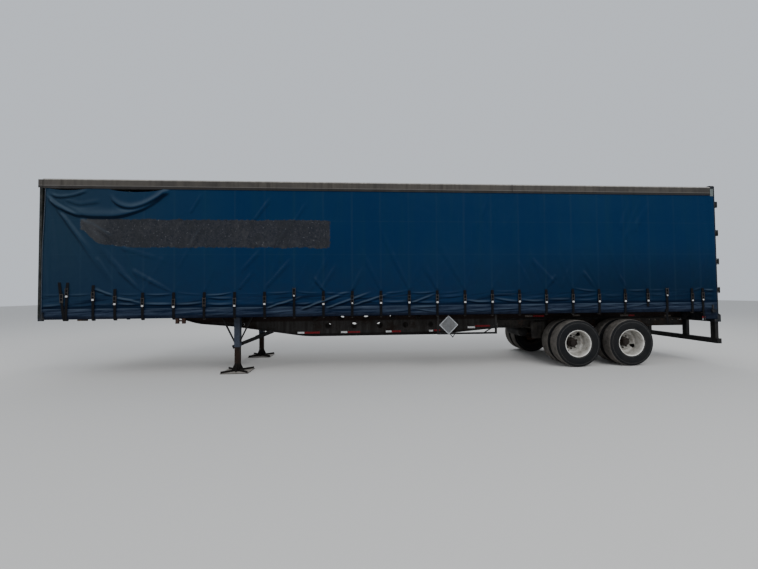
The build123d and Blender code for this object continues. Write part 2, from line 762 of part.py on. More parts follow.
def axle(name):
    """Axle tube with its spring seats and spindles, brake arms and air chambers."""
    x = at(AXLE_X[name])
    tube = across(Pos(x, AXLE_Z) * Circle(AXLE_R), -AXLE_TUBE, AXLE_TUBE)
    tube += across(Pos(x, AXLE_Z) * Circle(SPINDLE_R), -SPINDLE_OUT, SPINDLE_OUT)
    for side in (-1, 1):
        middle = side * SPRING_Y
        tube += block(x - 70, x + 70, middle - 45, middle + 45, AXLE_Z + 20, AXLE_Z + AXLE_R + SEAT_H)
        tube += block(x - 80, x - 40, middle - 30, middle + 30, AXLE_Z - 30, AXLE_Z + 25)
        chamber = side * CHAMBER_Y
        tube += along(Pos(chamber, AXLE_Z + 70) * Circle(CHAMBER_R), x - 210, x - 70)
        tube += block(x - 72, x + 40, chamber - 20, chamber + 20, AXLE_Z + 40, AXLE_Z + 100)
    return [tube]


def tyre(centre, outward):
    """One tyre, with its shoulder cut on the outward side, or on neither for 0."""
    half = TYRE_W / 2
    points = [(-half, BEAD_R), (-half, TYRE_R), (half, TYRE_R), (half, BEAD_R)]
    if outward:
        points[2:3] = [(half - SHOULDER_W, TYRE_R), (half, TYRE_R - SHOULDER_DROP)]
    sign = outward or 1
    return turned([(centre + sign * y, r) for y, r in points])


def tyres(name, side):
    """The pair of tyres at one end of an axle."""
    outer = side * (DUAL_Y + DUAL_PITCH / 2)
    inner = side * (DUAL_Y - DUAL_PITCH / 2)
    place = Pos(at(AXLE_X[name]), 0, AXLE_Z)
    return [place * tyre(outer, side), place * tyre(inner, 0)]


def wheels(name, side):
    """The pair of wheels, disc to disc, with their rims and two hand holes."""
    seat = BEAD_R - RUNNING
    # distance out from the mounting face and radius
    profile = (
        (0, DISC_BORE_R), (0, seat - RIM_BEVEL), (RIM_BEVEL, seat), (RIM_REACH, seat),
        (RIM_REACH, seat - RIM_T), (DISC_T, seat - RIM_T), (DISC_T, DISC_BORE_R),
    )
    pair = Part()
    for facing in (1, -1):
        pair += turned([(side * (DUAL_Y + facing * d), r) for d, r in profile])
    for turn in (0, 180):
        spot = Rot(0, 0, HAND_HOLE_TURN[name] + turn) * Pos(HAND_HOLE_AT, 0)
        y0, y1 = sorted((side * (DUAL_Y - DISC_T - 1), side * (DUAL_Y + DISC_T + 1)))
        pair -= across(spot * Circle(HAND_HOLE_R), y0, y1)
    return [Pos(at(AXLE_X[name]), 0, AXLE_Z) * pair]


def hub(name, side):
    """Hub with its flange and nose, and the brake drum behind the wheels."""
    bore, seat = SPINDLE_R + RUNNING, DUAL_Y - DISC_T
    # distance out from the trailer's centre line and radius
    profile = (
        (DRUM_IN, bore), (DRUM_IN, DRUM_R), (DRUM_OUT, DRUM_R), (DRUM_OUT, FLANGE_R), (seat, FLANGE_R),
        (seat, NOSE_R), (NOSE_OUT, NOSE_R), (NOSE_OUT, 0), (SPINDLE_OUT + 1, 0), (SPINDLE_OUT + 1, bore),
    )
    part = turned([(side * y, r) for y, r in profile])
    return [Pos(at(AXLE_X[name]), 0, AXLE_Z) * part]


# Rear portal and doors


def hinge_heights():
    step = (HINGE_HIGH - HINGE_LOW) / (HINGE_COUNT - 1)
    return [HINGE_LOW + step * i for i in range(HINGE_COUNT)]


def rear_frame():
    """Rear portal: posts, header, the bolster under the floor, hinge ears and bumpers."""
    x0, x1 = at(BODY_L - REAR_POST_D), at(BODY_L)
    inner = HALF_W - REAR_POST_D
    outline = Pos(0, (BOLSTER_Z + REAR_TOP) / 2) * Rectangle(2 * HALF_W, REAR_TOP - BOLSTER_Z)
    outline = chamfer(outline.vertices().sort_by(Axis.Y)[-2:], 22)
    way = Pos(0, (FLOOR_TOP + REAR_HEADER_Z) / 2) * Rectangle(2 * inner, REAR_HEADER_Z - FLOOR_TOP)
    frame = along(outline - way, x0, x1)
    for side in (-1, 1):
        for z in hinge_heights():
            frame += hinge_pin(side, z)
        back, top = x1 + BUMPER_D, BOLSTER_Z + BUMPER_H
        bumper = [(x1, BOLSTER_Z), (back, BOLSTER_Z), (back, top - 30), (x1, top)]
        y0, y1 = sorted((side * (HALF_W - 110), side * HALF_W))
        frame += across(face_of(bumper), y0, y1)
    return [frame]


def hinge_pin(side, z):
    """Two ears on the portal and the pin between them."""
    x1, x, y, r = at(BODY_L), at(BODY_L) + PIN_BACK, PIN_Y, BARREL_R
    ear = [(x1, HALF_W), (x1, HALF_W - 70), (x, y - r), (x + r, y - r / 2), (x + r, y + r / 3), (x, HALF_W)]
    ear = face_of([(ex, side * ey) for ex, ey in ear])
    pin = upward(Pos(x, side * y) * Circle(PIN_R), z - EAR_REACH + 1, z + EAR_REACH - 1)
    for low in (z - EAR_REACH, z + EAR_REACH - EAR_T):
        pin += upward(ear, low, low + EAR_T)
    return pin


def door_panel(side):
    """One rear door: a thick leaf with pressed panels, recessed in the portal."""
    x1 = at(BODY_L) - DOOR_RECESS
    low, top = FLOOR_TOP + MOVING, REAR_HEADER_Z - MOVING
    y0, y1 = sorted((side * DOOR_MEET, side * DOOR_OUT))
    leaf = block(x1 - DOOR_T, x1, y0, y1, low, top)
    margin = 70.0
    height = (top - low - margin) / DOOR_ROWS
    for i in range(DOOR_ROWS):
        z = low + margin + height * i
        leaf -= block(x1 - PRESSING, x1, y0 + margin, y1 - margin, z, z + height - margin)
    return [leaf]


def door_hinge(side, z):
    """Hinge strap: a pad on the door, a bridge over the post and a knuckle on the pin."""
    face, x, y = at(BODY_L) - DOOR_RECESS, at(BODY_L) + PIN_BACK, PIN_Y
    near, far = at(BODY_L) + 6, at(BODY_L) + 28
    inner = DOOR_OUT - 70
    bridge = [
        (face, inner), (face, DOOR_OUT - 6), (near, DOOR_OUT + 2), (near, y), (x, y),
        (x, y - BARREL_R), (far, y - 30), (far, DOOR_OUT + 10), (face + 14, inner),
    ]
    plan = face_of([(bx, side * by) for bx, by in bridge]) + Pos(x, side * y) * Circle(BARREL_R)
    plan -= Pos(x, side * y) * Circle(PIN_R + RUNNING)
    low, top = z - KNUCKLE_HALF, z + KNUCKLE_HALF
    pad = block(face, face + 8, side * (DOOR_OUT - 10), side * (DOOR_OUT - 260), low, top)
    return upward(plan, low, top) + pad


def lock_rod(side, y):
    """A lock rod with its folded handle."""
    x, low, top = at(BODY_L), FLOOR_TOP + 20, REAR_HEADER_Z - 20
    rod = upward(Pos(x, y) * Circle(ROD_R), low, top)
    handle_z = FLOOR_TOP + 650
    return rod + block(x - 6, x + 6, y, y - side * 260, handle_z, handle_z + 30)


def door_gear(side):
    """Hinges, and the two lock rods with the guides that hold them to the door."""
    face, x = at(BODY_L) - DOOR_RECESS, at(BODY_L)
    solids = [door_hinge(side, z) for z in hinge_heights()]
    low, top = FLOOR_TOP + 80, REAR_HEADER_Z - 80
    for share in ROD_SHARES:
        y = side * DOOR_OUT * share
        solids.append(lock_rod(side, y))
        for i in range(5):
            z = low + (top - low) * i / 4
            solids.append(block(face, x - ROD_R - RUNNING, y - 34, y + 34, z - 22, z + 22))
    return solids


def rear_guard():
    """Under-run guard: a bar across the back on four posts."""
    x1 = at(BODY_L) + GUARD_BACK
    x0, top = x1 - GUARD_D, GUARD_LOW_Z + GUARD_H
    guard = block(x0 - 10, x1 + 10, -HALF_W - 4, HALF_W + 4, GUARD_LOW_Z, top)
    for y in (BEAM_Y + 30, HALF_W - 100):
        guard += both_sides(block(x0, x1, y - GUARD_POST_W / 2, y + GUARD_POST_W / 2, top, BOLSTER_Z))
    return [guard]


def lamps():
    """Rear lamps in the bolster and marker lamps on the header."""
    parts, x = [], at(BODY_L)
    for y in (HALF_W - 330, HALF_W - 200):
        parts += both_sides(along(Pos(y, BOLSTER_Z + 240) * Circle(52.0), x, x + 14))
    for y in (-160.0, 0.0, 160.0):
        parts.append(block(x, x + 16, y - 40, y + 40, REAR_TOP - 90, REAR_TOP - 60))
    return parts


# Small pieces


def side_rack():
    """Tube rack that hangs from the cross-members on the left."""
    x0, x1, t, low = at(RACK_X0), at(RACK_X1), RACK_TUBE, RACK_Z
    y0, y1 = -RACK_Y - t / 2, -RACK_Y + t / 2
    rack = block(x0, x1, y0, y1, BEAM_TOP - t, BEAM_TOP)
    rack += block(x0, x1, y0, y1, low, low + t)
    for x in (x0, x1 - t):
        rack += block(x, x + t, y0, y1, low + t, BEAM_TOP - t)
    inner = x1 - t
    brace = [(inner, low + 160), (inner, low + 190), (inner - 250, low + t), (inner - 210, low + t)]
    rack += across(face_of(brace), -RACK_Y - 10, -RACK_Y + 10)
    # the hook is a bent rod below the lower bar, under the board
    left, mid, right = x0 + 280, x0 + 340, x0 + 390
    hook = [
        (left, low), (mid, low - 75), (right, low),
        (right - 16, low), (mid, low - 50), (left + 20, low),
    ]
    return [rack + across(face_of(hook), -RACK_Y - 6, -RACK_Y + 6)]


def placard_board():
    """Blank diamond board on the rack."""
    x, z, reach = at(RACK_X0 + 250), RACK_Z + 208, BOARD_HALF
    face_y = -RACK_Y - RACK_TUBE / 2
    points = [(x - reach, z), (x, z - reach), (x + reach, z), (x, z + reach)]
    return [across(face_of(points), face_y - BOARD_T, face_y)]


def air_couplings():
    """Air couplings and the electric socket on the front sill."""
    parts, z = [], FLOOR_TOP - 105
    for y in (-330.0, 330.0):
        body = along(Pos(y, z) * Circle(38.0), at(0) - 60, at(0))
        parts.append(body + block(at(0) - 45, at(0) - 20, y - 20, y + 20, z - 70, z))
    parts.append(along(Pos(0, z) * Circle(42.0), at(0) - 55, at(0)))
    return parts


def build():
    nodes = {
        "main_beams": main_beams(),
        "cross_members": cross_members(),
        "slider_rails": slider_rails(),
        "coupler_plate": coupler_plate(),
        "side_rails": side_rails(),
        "deck": deck(),
        "front_posts": front_posts(),
        "front_rails": front_rails(),
        "front_wall": front_wall(),
        "roof_rails": roof_rails(),
        "roof_panel": roof_panel(),
        "roof_bows": roof_bows(),
        "curtain_left": curtain(-1),
        "curtain_right": curtain(1),
        "curtain_straps": curtain_straps(),
        "strap_buckles": strap_buckles(),
        "curtain_posts": curtain_posts(),
        "curtain_tensioners": curtain_tensioners(),
        "landing_leg_left": [mirror(landing_leg(), Plane.XZ)],
        "landing_leg_right": [landing_leg()],
        "landing_wings": landing_wings(),
        "landing_struts": landing_struts(),
        "landing_crank": landing_crank(),
        "bogie_frame": bogie_frame(),
        "spring_hangers": spring_hangers(),
        "leaf_springs": leaf_springs(),
        "radius_rods": radius_rods(),
        "air_tanks": air_tanks(),
        "rear_frame": rear_frame(),
        "rear_guard": rear_guard(),
        "lamps": lamps(),
        "side_rack": side_rack(),
        "placard_board": placard_board(),
        "air_couplings": air_couplings(),
    }
    for name in AXLE_X:
        nodes[f"axle_{name}"] = axle(name)
        for side, word in ((-1, "left"), (1, "right")):
            nodes[f"tyres_{name}_{word}"] = tyres(name, side)
            nodes[f"wheels_{name}_{word}"] = wheels(name, side)
            nodes[f"hub_{name}_{word}"] = hub(name, side)
    for side, word in ((-1, "left"), (1, "right")):
        nodes[f"door_{word}"] = door_panel(side)
        nodes[f"door_gear_{word}"] = door_gear(side)
    return nodes


def export(nodes):
    os.makedirs("parts", exist_ok=True)
    for name, shapes in nodes.items():
        export_step(Compound(flat(shapes)), f"parts/{name}.step")


export(build())
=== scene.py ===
import bmesh
import bpy
import json
import math
import random
from mathutils import Matrix, Vector, noise


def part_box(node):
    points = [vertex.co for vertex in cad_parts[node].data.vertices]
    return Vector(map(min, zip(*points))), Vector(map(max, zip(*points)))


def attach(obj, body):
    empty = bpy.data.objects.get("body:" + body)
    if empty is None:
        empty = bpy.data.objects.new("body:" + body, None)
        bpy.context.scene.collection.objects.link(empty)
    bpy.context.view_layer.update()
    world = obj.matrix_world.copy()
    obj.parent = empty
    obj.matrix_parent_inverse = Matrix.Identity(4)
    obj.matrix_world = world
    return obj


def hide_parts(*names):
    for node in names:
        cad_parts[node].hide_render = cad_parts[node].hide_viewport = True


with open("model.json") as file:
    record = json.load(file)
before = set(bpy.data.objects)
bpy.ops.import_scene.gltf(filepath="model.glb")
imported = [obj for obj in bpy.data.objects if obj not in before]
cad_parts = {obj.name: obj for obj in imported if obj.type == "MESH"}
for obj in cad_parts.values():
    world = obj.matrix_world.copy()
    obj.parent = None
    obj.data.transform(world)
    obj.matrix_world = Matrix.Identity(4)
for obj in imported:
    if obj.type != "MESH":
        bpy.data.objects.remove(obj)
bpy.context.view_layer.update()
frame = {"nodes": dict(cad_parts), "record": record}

# Photo camera, fitted to the straps, the roof line and the wheels
PHOTO_W, PHOTO_H = 758, 569
FOCAL_PX = 330.13
BODY_L = 14.63
CAMERA_AT = (6.425 - BODY_L / 2, -8.33, 1.679)
YAW = math.radians(3.674)
PITCH = math.radians(1.499)
ROLL = math.radians(-0.493)

# Curtain, in metres
STRAP_PITCH = 0.6096
STRAP_X0 = 2.04
STRAP_TOP_Z = 1.73
HEM_TOP_Z = 1.41
TRACK_Z = 3.875
WELD_Z = (3.22, 2.51)
PATCH_X = (0.79, 5.86)
PATCH_Z = (2.652, 3.235)
# Station of the joint in the roof rail
RAIL_JOINT = 9.842


def at(station):
    """X in the frame of a station behind the front face."""
    return station - BODY_L / 2


def placed(name, data):
    """A new object of the scene that shows this data."""
    piece = bpy.data.objects.new(name, data)
    bpy.context.scene.collection.objects.link(piece)
    return piece


def camera_turn():
    level = math.cos(PITCH)
    forward = Vector((math.sin(YAW) * level, math.cos(YAW) * level, math.sin(PITCH)))
    right = Vector((math.cos(YAW), -math.sin(YAW), 0))
    up = right.cross(forward)
    side = right * math.cos(ROLL) + up * math.sin(ROLL)
    top = up * math.cos(ROLL) - right * math.sin(ROLL)
    return Matrix((side, top, -forward)).transposed()


def on_curtain(px, py, plane=-1.292):
    """Station and height on the left curtain of a point of the photograph."""
    ray = camera_turn() @ Vector(((px - PHOTO_W / 2) / FOCAL_PX, (PHOTO_H / 2 - py) / FOCAL_PX, -1))
    reach = (plane - CAMERA_AT[1]) / ray.y
    return CAMERA_AT[0] + ray.x * reach + BODY_L / 2, CAMERA_AT[2] + ray.z * reach


def photo_camera():
    data = bpy.data.cameras.new("photo_camera")
    data.sensor_width = 36.0
    data.lens = FOCAL_PX / PHOTO_W * data.sensor_width
    camera = placed("photo_camera", data)
    camera.matrix_world = Matrix.Translation(CAMERA_AT) @ camera_turn().to_4x4()
    bpy.context.scene.camera = camera


def clamp(value, low=0.0, high=1.0):
    return max(low, min(high, value))


def smooth(low, high, value):
    t = clamp((value - low) / (high - low))
    return t * t * (3 - 2 * t)


def bell(x, width):
    return math.exp(-(x / width) ** 2)


# Materials


def toned(paint, factor, lift=0.0, most=1.0):
    """A colour made lighter or darker."""
    return tuple(min(most, c * factor + lift) for c in paint)


class Finish:
    """A procedural material, built node by node in the object's own coordinates."""

    def __init__(self, name, color, rough=0.6, metal=0.0, specular=0.14):
        self.data = bpy.data.materials.new(name)
        self.data.use_nodes = True
        self.tree = self.data.node_tree
        self.shader = self.tree.nodes["Principled BSDF"]
        self.set("Base Color", (*color, 1))
        self.set("Roughness", rough)
        self.set("Metallic", metal)
        self.set("Specular IOR Level", specular)
        self.place = self.made("TexCoord", "Object")

    def made(self, kind, output, inputs=(), **values):
        """Adds a node, feeds its inputs and gives one of its outputs."""
        node = self.tree.nodes.new("ShaderNode" + kind)
        for key, value in values.items():
            setattr(node, key, value)
        for socket, value in dict(inputs).items():
            self.feed(node.inputs[socket], value)
        return node.outputs[output]

    def set(self, socket, value):
        self.shader.inputs[socket].default_value = value

    def feed(self, socket, value):
        """Links a node's output to a socket, or sets the socket to a plain value."""
        if hasattr(value, "is_linked"):
            self.tree.links.new(value, socket)
        else:
            socket.default_value = value

    def axis(self, letter):
        return self.made("SeparateXYZ", letter, {"Vector": self.place})

    def facing_up(self):
        normal = self.made("NewGeometry", "Normal")
        return self.made("SeparateXYZ", "Z", {"Vector": normal})

    def stretch(self, x, y, z):
        return self.made("Mapping", "Vector", {"Vector": self.place, "Scale": (x, y, z)})

    def slanted(self, lean, along, across):
        """Coordinates for marks that climb by lean for each metre along X."""
        x, z = self.axis("X"), self.axis("Z")
        rise = self.less(z, self.both(x, lean))
        inputs = {"X": self.both(x, along), "Z": self.both(rise, across)}
        return self.made("CombineXYZ", "Vector", inputs)

    def noise(self, scale, detail, rough, vector=None):
        inputs = {"Vector": vector or self.place, "Scale": scale, "Detail": detail, "Roughness": rough}
        return self.made("TexNoise", "Fac", inputs)

    def math(self, operation, a, b=0.0):
        return self.made("Math", 0, {0: a, 1: b}, operation=operation)

    def add(self, a, b):
        return self.math("ADD", a, b)

    def less(self, a, b):
        return self.math("SUBTRACT", a, b)

    def both(self, first, *others):
        for other in others:
            first = self.math("MULTIPLY", first, other)
        return first

    def blend(self, a, b, share):
        return self.add(self.both(a, share), self.both(b, 1 - share))

    def band(self, value, low=0.3, high=0.7, to_low=0.0, to_high=1.0):
        """A smooth step from to_low, where the value is low, to to_high."""
        inputs = enumerate((value, low, high, to_low, to_high))
        return self.made("MapRange", "Result", inputs, interpolation_type="SMOOTHSTEP")

    def near(self, value, middle, outer, inner):
        """1 within inner of the middle, falling to 0 at outer."""
        return self.band(self.math("ABSOLUTE", self.less(value, middle)), outer, inner)

    def mix(self, factor, a, b):
        """Blends two colours; the node's sockets 6 and 7 and its output 2 are those for colour."""
        a, b = ((*paint, 1) if isinstance(paint, tuple) else paint for paint in (a, b))
        return self.made("Mix", 2, {0: factor, 6: a, 7: b}, data_type="RGBA")

    def coats(self, color, *rows):
        """Lays paints over a colour: each row is a paint and the masks that together show it."""
        for paint, *masks in rows:
            color = self.mix(self.both(*masks), color, paint)
        return color

    def bump(self, height, strength, distance, under=None):
        inputs = {"Height": height, "Strength": strength, "Distance": distance}
        if under:
            inputs["Normal"] = under
        return self.made("Bump", "Normal", inputs)

    def finish(self, color, rough, normal):
        for socket, value in (("Base Color", color), ("Roughness", rough), ("Normal", normal)):
            self.feed(self.shader.inputs[socket], value)
        return self.data


def worn_paint(name, paint, under, rust, dust, rough=0.55, scale=1.0):
    """Old paint: patches of rust, small chips, dust on top faces and streaks down the sides."""
    f = Finish(name, paint, rough)
    large, fine = f.noise(2.2 * scale, 5, 0.6), f.noise(34 * scale, 6, 0.62)
    streak = f.noise(1.0, 4, 0.6, f.stretch(26 * scale, 26 * scale, 2.2 * scale))
    patches = f.blend(large, fine, 0.62)
    edge = 0.66 - 0.24 * rust
    color = f.coats(
        f.mix(f.band(streak, 0.35, 0.75), paint, toned(paint, 1.5, 0.012)),
        (f.mix(fine, under, toned(under, 2.0)), f.band(patches, edge, edge + 0.1)),
        ((0.23, 0.2, 0.165), f.band(f.noise(5.5 * scale, 6, 0.7), 0.38, 0.72), dust),
        ((0.3, 0.27, 0.225), f.band(f.facing_up(), 0.35, 0.95), clamp(dust * 1.8)),
    )
    roughness = f.band(patches, 0.3, 0.75, rough - 0.1, min(0.95, rough + 0.3))
    return f.finish(color, roughness, f.bump(patches, 0.35, 0.004))


def bare_metal(name, tone, rough, dirt, metal, brushed="z"):
    """Weathered aluminium or zinc: dull patches, run marks and fine brushing along its length."""
    f = Finish(name, tone, rough, metal)
    lines = {"x": (1.2, 60, 60), "z": (60, 60, 1.2)}[brushed]
    brush = f.noise(1.0, 3, 0.5, f.stretch(*lines))
    cloud = f.noise(3.5, 6, 0.65)
    runs = f.noise(1.0, 5, 0.65, f.stretch(9, 9, 0.9))
    color = f.coats(
        f.mix(f.band(brush), toned(tone, 0.85), tone),
        (toned(tone, 0.42), f.band(cloud, 0.35, 0.7), dirt),
        ((0.085, 0.065, 0.05), f.band(runs, 0.48, 0.72), dirt),
    )
    roughness = f.band(cloud, 0.3, 0.7, rough, min(0.95, rough + 0.32))
    return f.finish(color, roughness, f.bump(brush, 0.12, 0.002))


def flat_finish(name, color, rough, vary, scale, coat=0.0):
    """A plain finish with a little mottling in tone and gloss."""
    f = Finish(name, color, rough)
    f.set("Coat Weight", coat)
    cloud = f.noise(scale, 5, 0.6)
    tone = f.mix(f.band(cloud), toned(color, 1 - vary), toned(color, 1 + vary))
    roughness = f.band(cloud, 0.3, 0.7, max(0.05, rough - 0.12), min(1.0, rough + 0.15))
    return f.finish(tone, roughness, f.bump(cloud, 0.12, 0.002))


def rubber(name, specular, cloud, fine, tones, dusting, rough, relief):
    """Old rubber: mottled, with dust in its pores."""
    dark, pale, dust = tones
    f = Finish(name, dark, 0.8, 0.0, specular)
    cloud, fine = f.noise(*cloud), f.noise(*fine)
    color = f.coats(f.mix(f.band(cloud), dark, pale), (dust, f.band(fine, *dusting)))
    return f.finish(color, f.band(fine, 0.3, 0.7, *rough), f.bump(fine, *relief))


def curtain_cloth(name, patch):
    """Coated cloth: faded navy with welds, streaks, a dusty hem and, on one side, a worn band, with painted
    light and shade on its folds and slopes.
    """
    f = Finish(name, (0.001, 0.018, 0.055), 0.5, 0.0, 0.035)
    x, z = f.axis("X"), f.axis("Z")
    cloud, mottle = f.noise(0.42, 4, 0.6), f.noise(7.5, 6, 0.65)
    streak = f.noise(1.0, 4, 0.62, f.stretch(5.2, 1, 0.32))
    fine_streak = f.noise(1.0, 3, 0.6, f.stretch(34, 1, 0.8))
    color = f.coats(
        f.mix(f.band(cloud, 0.35, 0.68), (0.001, 0.018, 0.058), (0.0026, 0.022, 0.061)),
        ((0.0032, 0.024, 0.053), f.band(streak, 0.45, 0.75), 0.45),
        ((0.009, 0.03, 0.06), f.band(fine_streak, 0.55, 0.8), 0.22),
        ((0.01, 0.0255, 0.041), f.band(x, at(4.2), at(0.3)), 0.78),
        ((0.0066, 0.018, 0.042), f.band(z, 3.1, 1.5), f.band(mottle, 0.2, 0.8, 0.3, 0.7)),
        ((0.0012, 0.0085, 0.021), f.band(x, at(7.5), at(13.0)), f.band(z, 2.9, 1.6), 0.62),
    )
    # Upright webbing sewn inside at each strap shows as a faint paler line
    phase = f.math("PINGPONG", f.less(x, at(STRAP_X0) - 30 * STRAP_PITCH), STRAP_PITCH / 2)
    line = f.band(fine_streak, 0.25, 0.75, 0.06, 0.24)
    color = f.coats(color, ((0.016, 0.036, 0.06), f.band(phase, 0.026, 0.018), line))
    for height in WELD_Z:
        weld = f.near(z, height, 0.014, 0.005)
        color = f.coats(color, ((0.018, 0.04, 0.064), weld, f.band(streak, 0.3, 0.7, 0.05, 0.24)))
    if patch:
        color = worn_band(f, color)
    # The folded cloth between the straps: painted shade in the hollows and painted highlights on the
    # slanting ridges
    slant = f.noise(1.0, 4, 0.6, f.slanted(0.11, 0.75, 15))
    folds = f.both(f.band(z, 1.7, 1.6), f.band(z, HEM_TOP_Z - 0.01, HEM_TOP_Z + 0.02))
    lip_shade_band = f.band(z, HEM_TOP_Z + 0.085, HEM_TOP_Z + 0.02)
    rub = f.noise(1.0, 5, 0.7, f.slanted(0.045, 1.1, 20))
    hem = f.coats(
        f.mix(f.band(rub, 0.4, 0.56), (0.0035, 0.0085, 0.022), (0.022, 0.032, 0.054)),
        ((0.058, 0.078, 0.112), f.band(rub, 0.56, 0.68, 0.0, 0.8)),
    )
    color = f.coats(
        color,
        # Painted shade in the fold hollows, then painted highlights on the ridges
        ((0.0006, 0.0045, 0.016), folds, f.band(slant, 0.52, 0.36, 0.0, 0.85)),
        ((0.014, 0.034, 0.07), folds, f.band(slant, 0.56, 0.7, 0.0, 0.6)),
        # Painted shade in a band just above the hem's top
        ((0.0006, 0.004, 0.014), lip_shade_band, f.band(z, HEM_TOP_Z - 0.004, HEM_TOP_Z + 0.004), 0.75),
        (hem, f.band(z, HEM_TOP_Z + 0.005, HEM_TOP_Z - 0.005), 0.92),
        ((0.004, 0.0055, 0.012), f.band(z, 1.285, 1.235), f.band(mottle, 0.3, 0.7, 0.55, 0.9)),
        # Painted sky light on what faces up, and painted shade on what faces the ground
        ((0.05, 0.074, 0.1), f.band(f.facing_up(), 0.015, 0.5), 0.62),
        ((0.0008, 0.0036, 0.011), f.band(f.facing_up(), -0.015, -0.42), 0.8),
    )
    weave = f.bump(f.noise(900, 2, 0.5), 0.06, 0.0006)
    ripples = f.bump(f.noise(1.0, 3, 0.5, f.stretch(2.6, 1, 1.1)), 0.35, 0.03, weave)
    return f.finish(color, f.band(mottle, 0.25, 0.75, 0.46, 0.66), ripples)


def worn_band(f, color):
    """A plain worn band where the cloth was once painted: grey, mottled, with ragged edges."""
    x, z = f.axis("X"), f.axis("Z")
    wander = f.both(f.less(f.noise(2.4, 3, 0.5), 0.5), 0.1)
    ragged = f.both(f.less(f.noise(15, 5, 0.7), 0.5), 0.1)
    height, length = f.add(f.add(z, wander), ragged), f.add(x, ragged)
    # The band's foot climbs towards its front end
    climb = f.add(f.band(x, at(1.2), at(0.8), 0.0, 0.3), f.band(x, at(1.85), at(1.15), 0.0, 0.08))
    (front, rear), (low, high) = PATCH_X, PATCH_Z
    foot = f.band(f.less(height, climb), low - 0.012, low + 0.012)
    top = f.band(height, high + 0.012, high - 0.012)
    ends = f.both(f.band(length, at(front), at(front) + 0.04), f.band(length, at(rear), at(rear) - 0.04))
    stained = f.coats(
        f.mix(f.band(f.noise(26, 7, 0.75)), (0.013, 0.0145, 0.0185), (0.036, 0.036, 0.039)),
        ((0.022, 0.0225, 0.024), f.band(f.noise(3.1, 4, 0.6), 0.4, 0.66), 0.8),
        ((0.044, 0.043, 0.044), f.band(f.noise(5.0, 5, 0.7, f.stretch(1, 1, 0.6)), 0.5, 0.7), 0.7),
        ((0.05, 0.05, 0.052), f.band(x, at(1.35), at(1.1)), 0.5),
        ((0.13, 0.13, 0.14), f.band(f.noise(34, 3, 0.5), 0.64, 0.72), 0.55),
    )
    return f.coats(color, (stained, foot, top, ends, 0.93))


def rim_paint(name, tone=1.0):
    """White wheel paint with brake dust, chips and rust runs from the nuts."""
    f = Finish(name, (0.7, 0.69, 0.66), 0.5, 0.0, 0.35)
    cloud, fine = f.noise(11, 6, 0.68), f.noise(55, 6, 0.7)
    paints = ((0.5, 0.485, 0.45), (0.27, 0.25, 0.215), (0.15, 0.125, 0.1))
    fresh, dusty, stained = (toned(paint, tone, 0.0, 0.8) for paint in paints)
    color = f.coats(
        f.mix(f.band(cloud, 0.36, 0.72), fresh, dusty),
        (stained, f.band(fine, 0.52, 0.74), 0.55),
        ((0.1, 0.045, 0.022), f.band(f.blend(fine, cloud, 0.6), 0.6, 0.66), 0.8),
    )
    return f.finish(color, f.band(cloud, 0.3, 0.7, 0.42, 0.72), f.bump(fine, 0.15, 0.002))


def planks(name):
    """Worn hardwood boards, with the grain along X."""
    f = Finish(name, (0.22, 0.16, 0.105), 0.75)
    grain = f.noise(1.0, 6, 0.65, f.stretch(1.6, 45, 45))
    color = f.coats(
        f.mix(f.band(grain), (0.12, 0.083, 0.052), (0.29, 0.215, 0.145)),
        ((0.085, 0.07, 0.058), f.band(f.noise(2.4, 6, 0.7), 0.4, 0.7), 0.6),
    )
    return f.finish(color, f.band(grain, 0.3, 0.7, 0.6, 0.9), f.bump(grain, 0.3, 0.002))


def roof_rail_finish(name):
    """Dull brown-grey extrusion with a painted highlight on its top edge, a thin painted highlight line over
    a darker foot and a joint behind the middle.
    """
    f = Finish(name, (0.05, 0.045, 0.04), 0.6, 0.35, 0.2)
    z = f.axis("Z")
    cloud = f.noise(2.6, 6, 0.65)
    runs = f.noise(1.0, 5, 0.65, f.stretch(11, 11, 1.0))
    color = f.coats(
        f.mix(f.band(cloud, 0.32, 0.7), (0.04, 0.036, 0.032), (0.08, 0.072, 0.062)),
        ((0.022, 0.019, 0.017), f.band(runs, 0.45, 0.72), 0.6),
        ((0.014, 0.013, 0.013), f.band(z, 3.925, 3.905), 0.85),
        # A thin painted highlight line at the top of the darker foot, then a painted highlight along the top
        # edge
        ((0.16, 0.15, 0.14), f.near(z, 3.918, 0.008, 0.004), 0.5),
        ((0.42, 0.4, 0.37), f.band(z, 4.03, 4.04), f.band(runs, 0.2, 0.6, 0.95, 0.55)),
        ((0.006, 0.006, 0.006), f.near(f.axis("X"), at(RAIL_JOINT), 0.01, 0.005)),
    )
    return f.finish(color, f.band(cloud, 0.3, 0.7, 0.45, 0.8), f.bump(runs, 0.15, 0.002))


def beam_paint(name):
    """Web of the long beams: grey, stained and rusty paint, dark red-brown under the floor."""
    f = Finish(name, (0.03, 0.03, 0.03), 0.7)
    z = f.axis("Z")
    large, fine = f.noise(2.4, 6, 0.68), f.noise(30, 6, 0.66)
    runs = f.noise(1.0, 5, 0.65, f.stretch(13, 13, 1.3))
    color = f.coats(
        f.mix(f.band(runs, 0.3, 0.76), (0.022, 0.0195, 0.018), (0.046, 0.044, 0.043)),
        ((0.017, 0.0095, 0.0065), f.band(large, 0.5, 0.66), 0.8),
        ((0.033, 0.018, 0.011), f.band(fine, 0.54, 0.74), 0.55),
        ((0.0125, 0.006, 0.0045), f.band(z, 1.02, 1.06), 0.85),
        ((0.008, 0.0065, 0.006), f.band(z, 0.76, 0.745), 0.7),
    )
    return f.finish(color, f.band(fine, 0.3, 0.7, 0.55, 0.9), f.bump(fine, 0.35, 0.004))


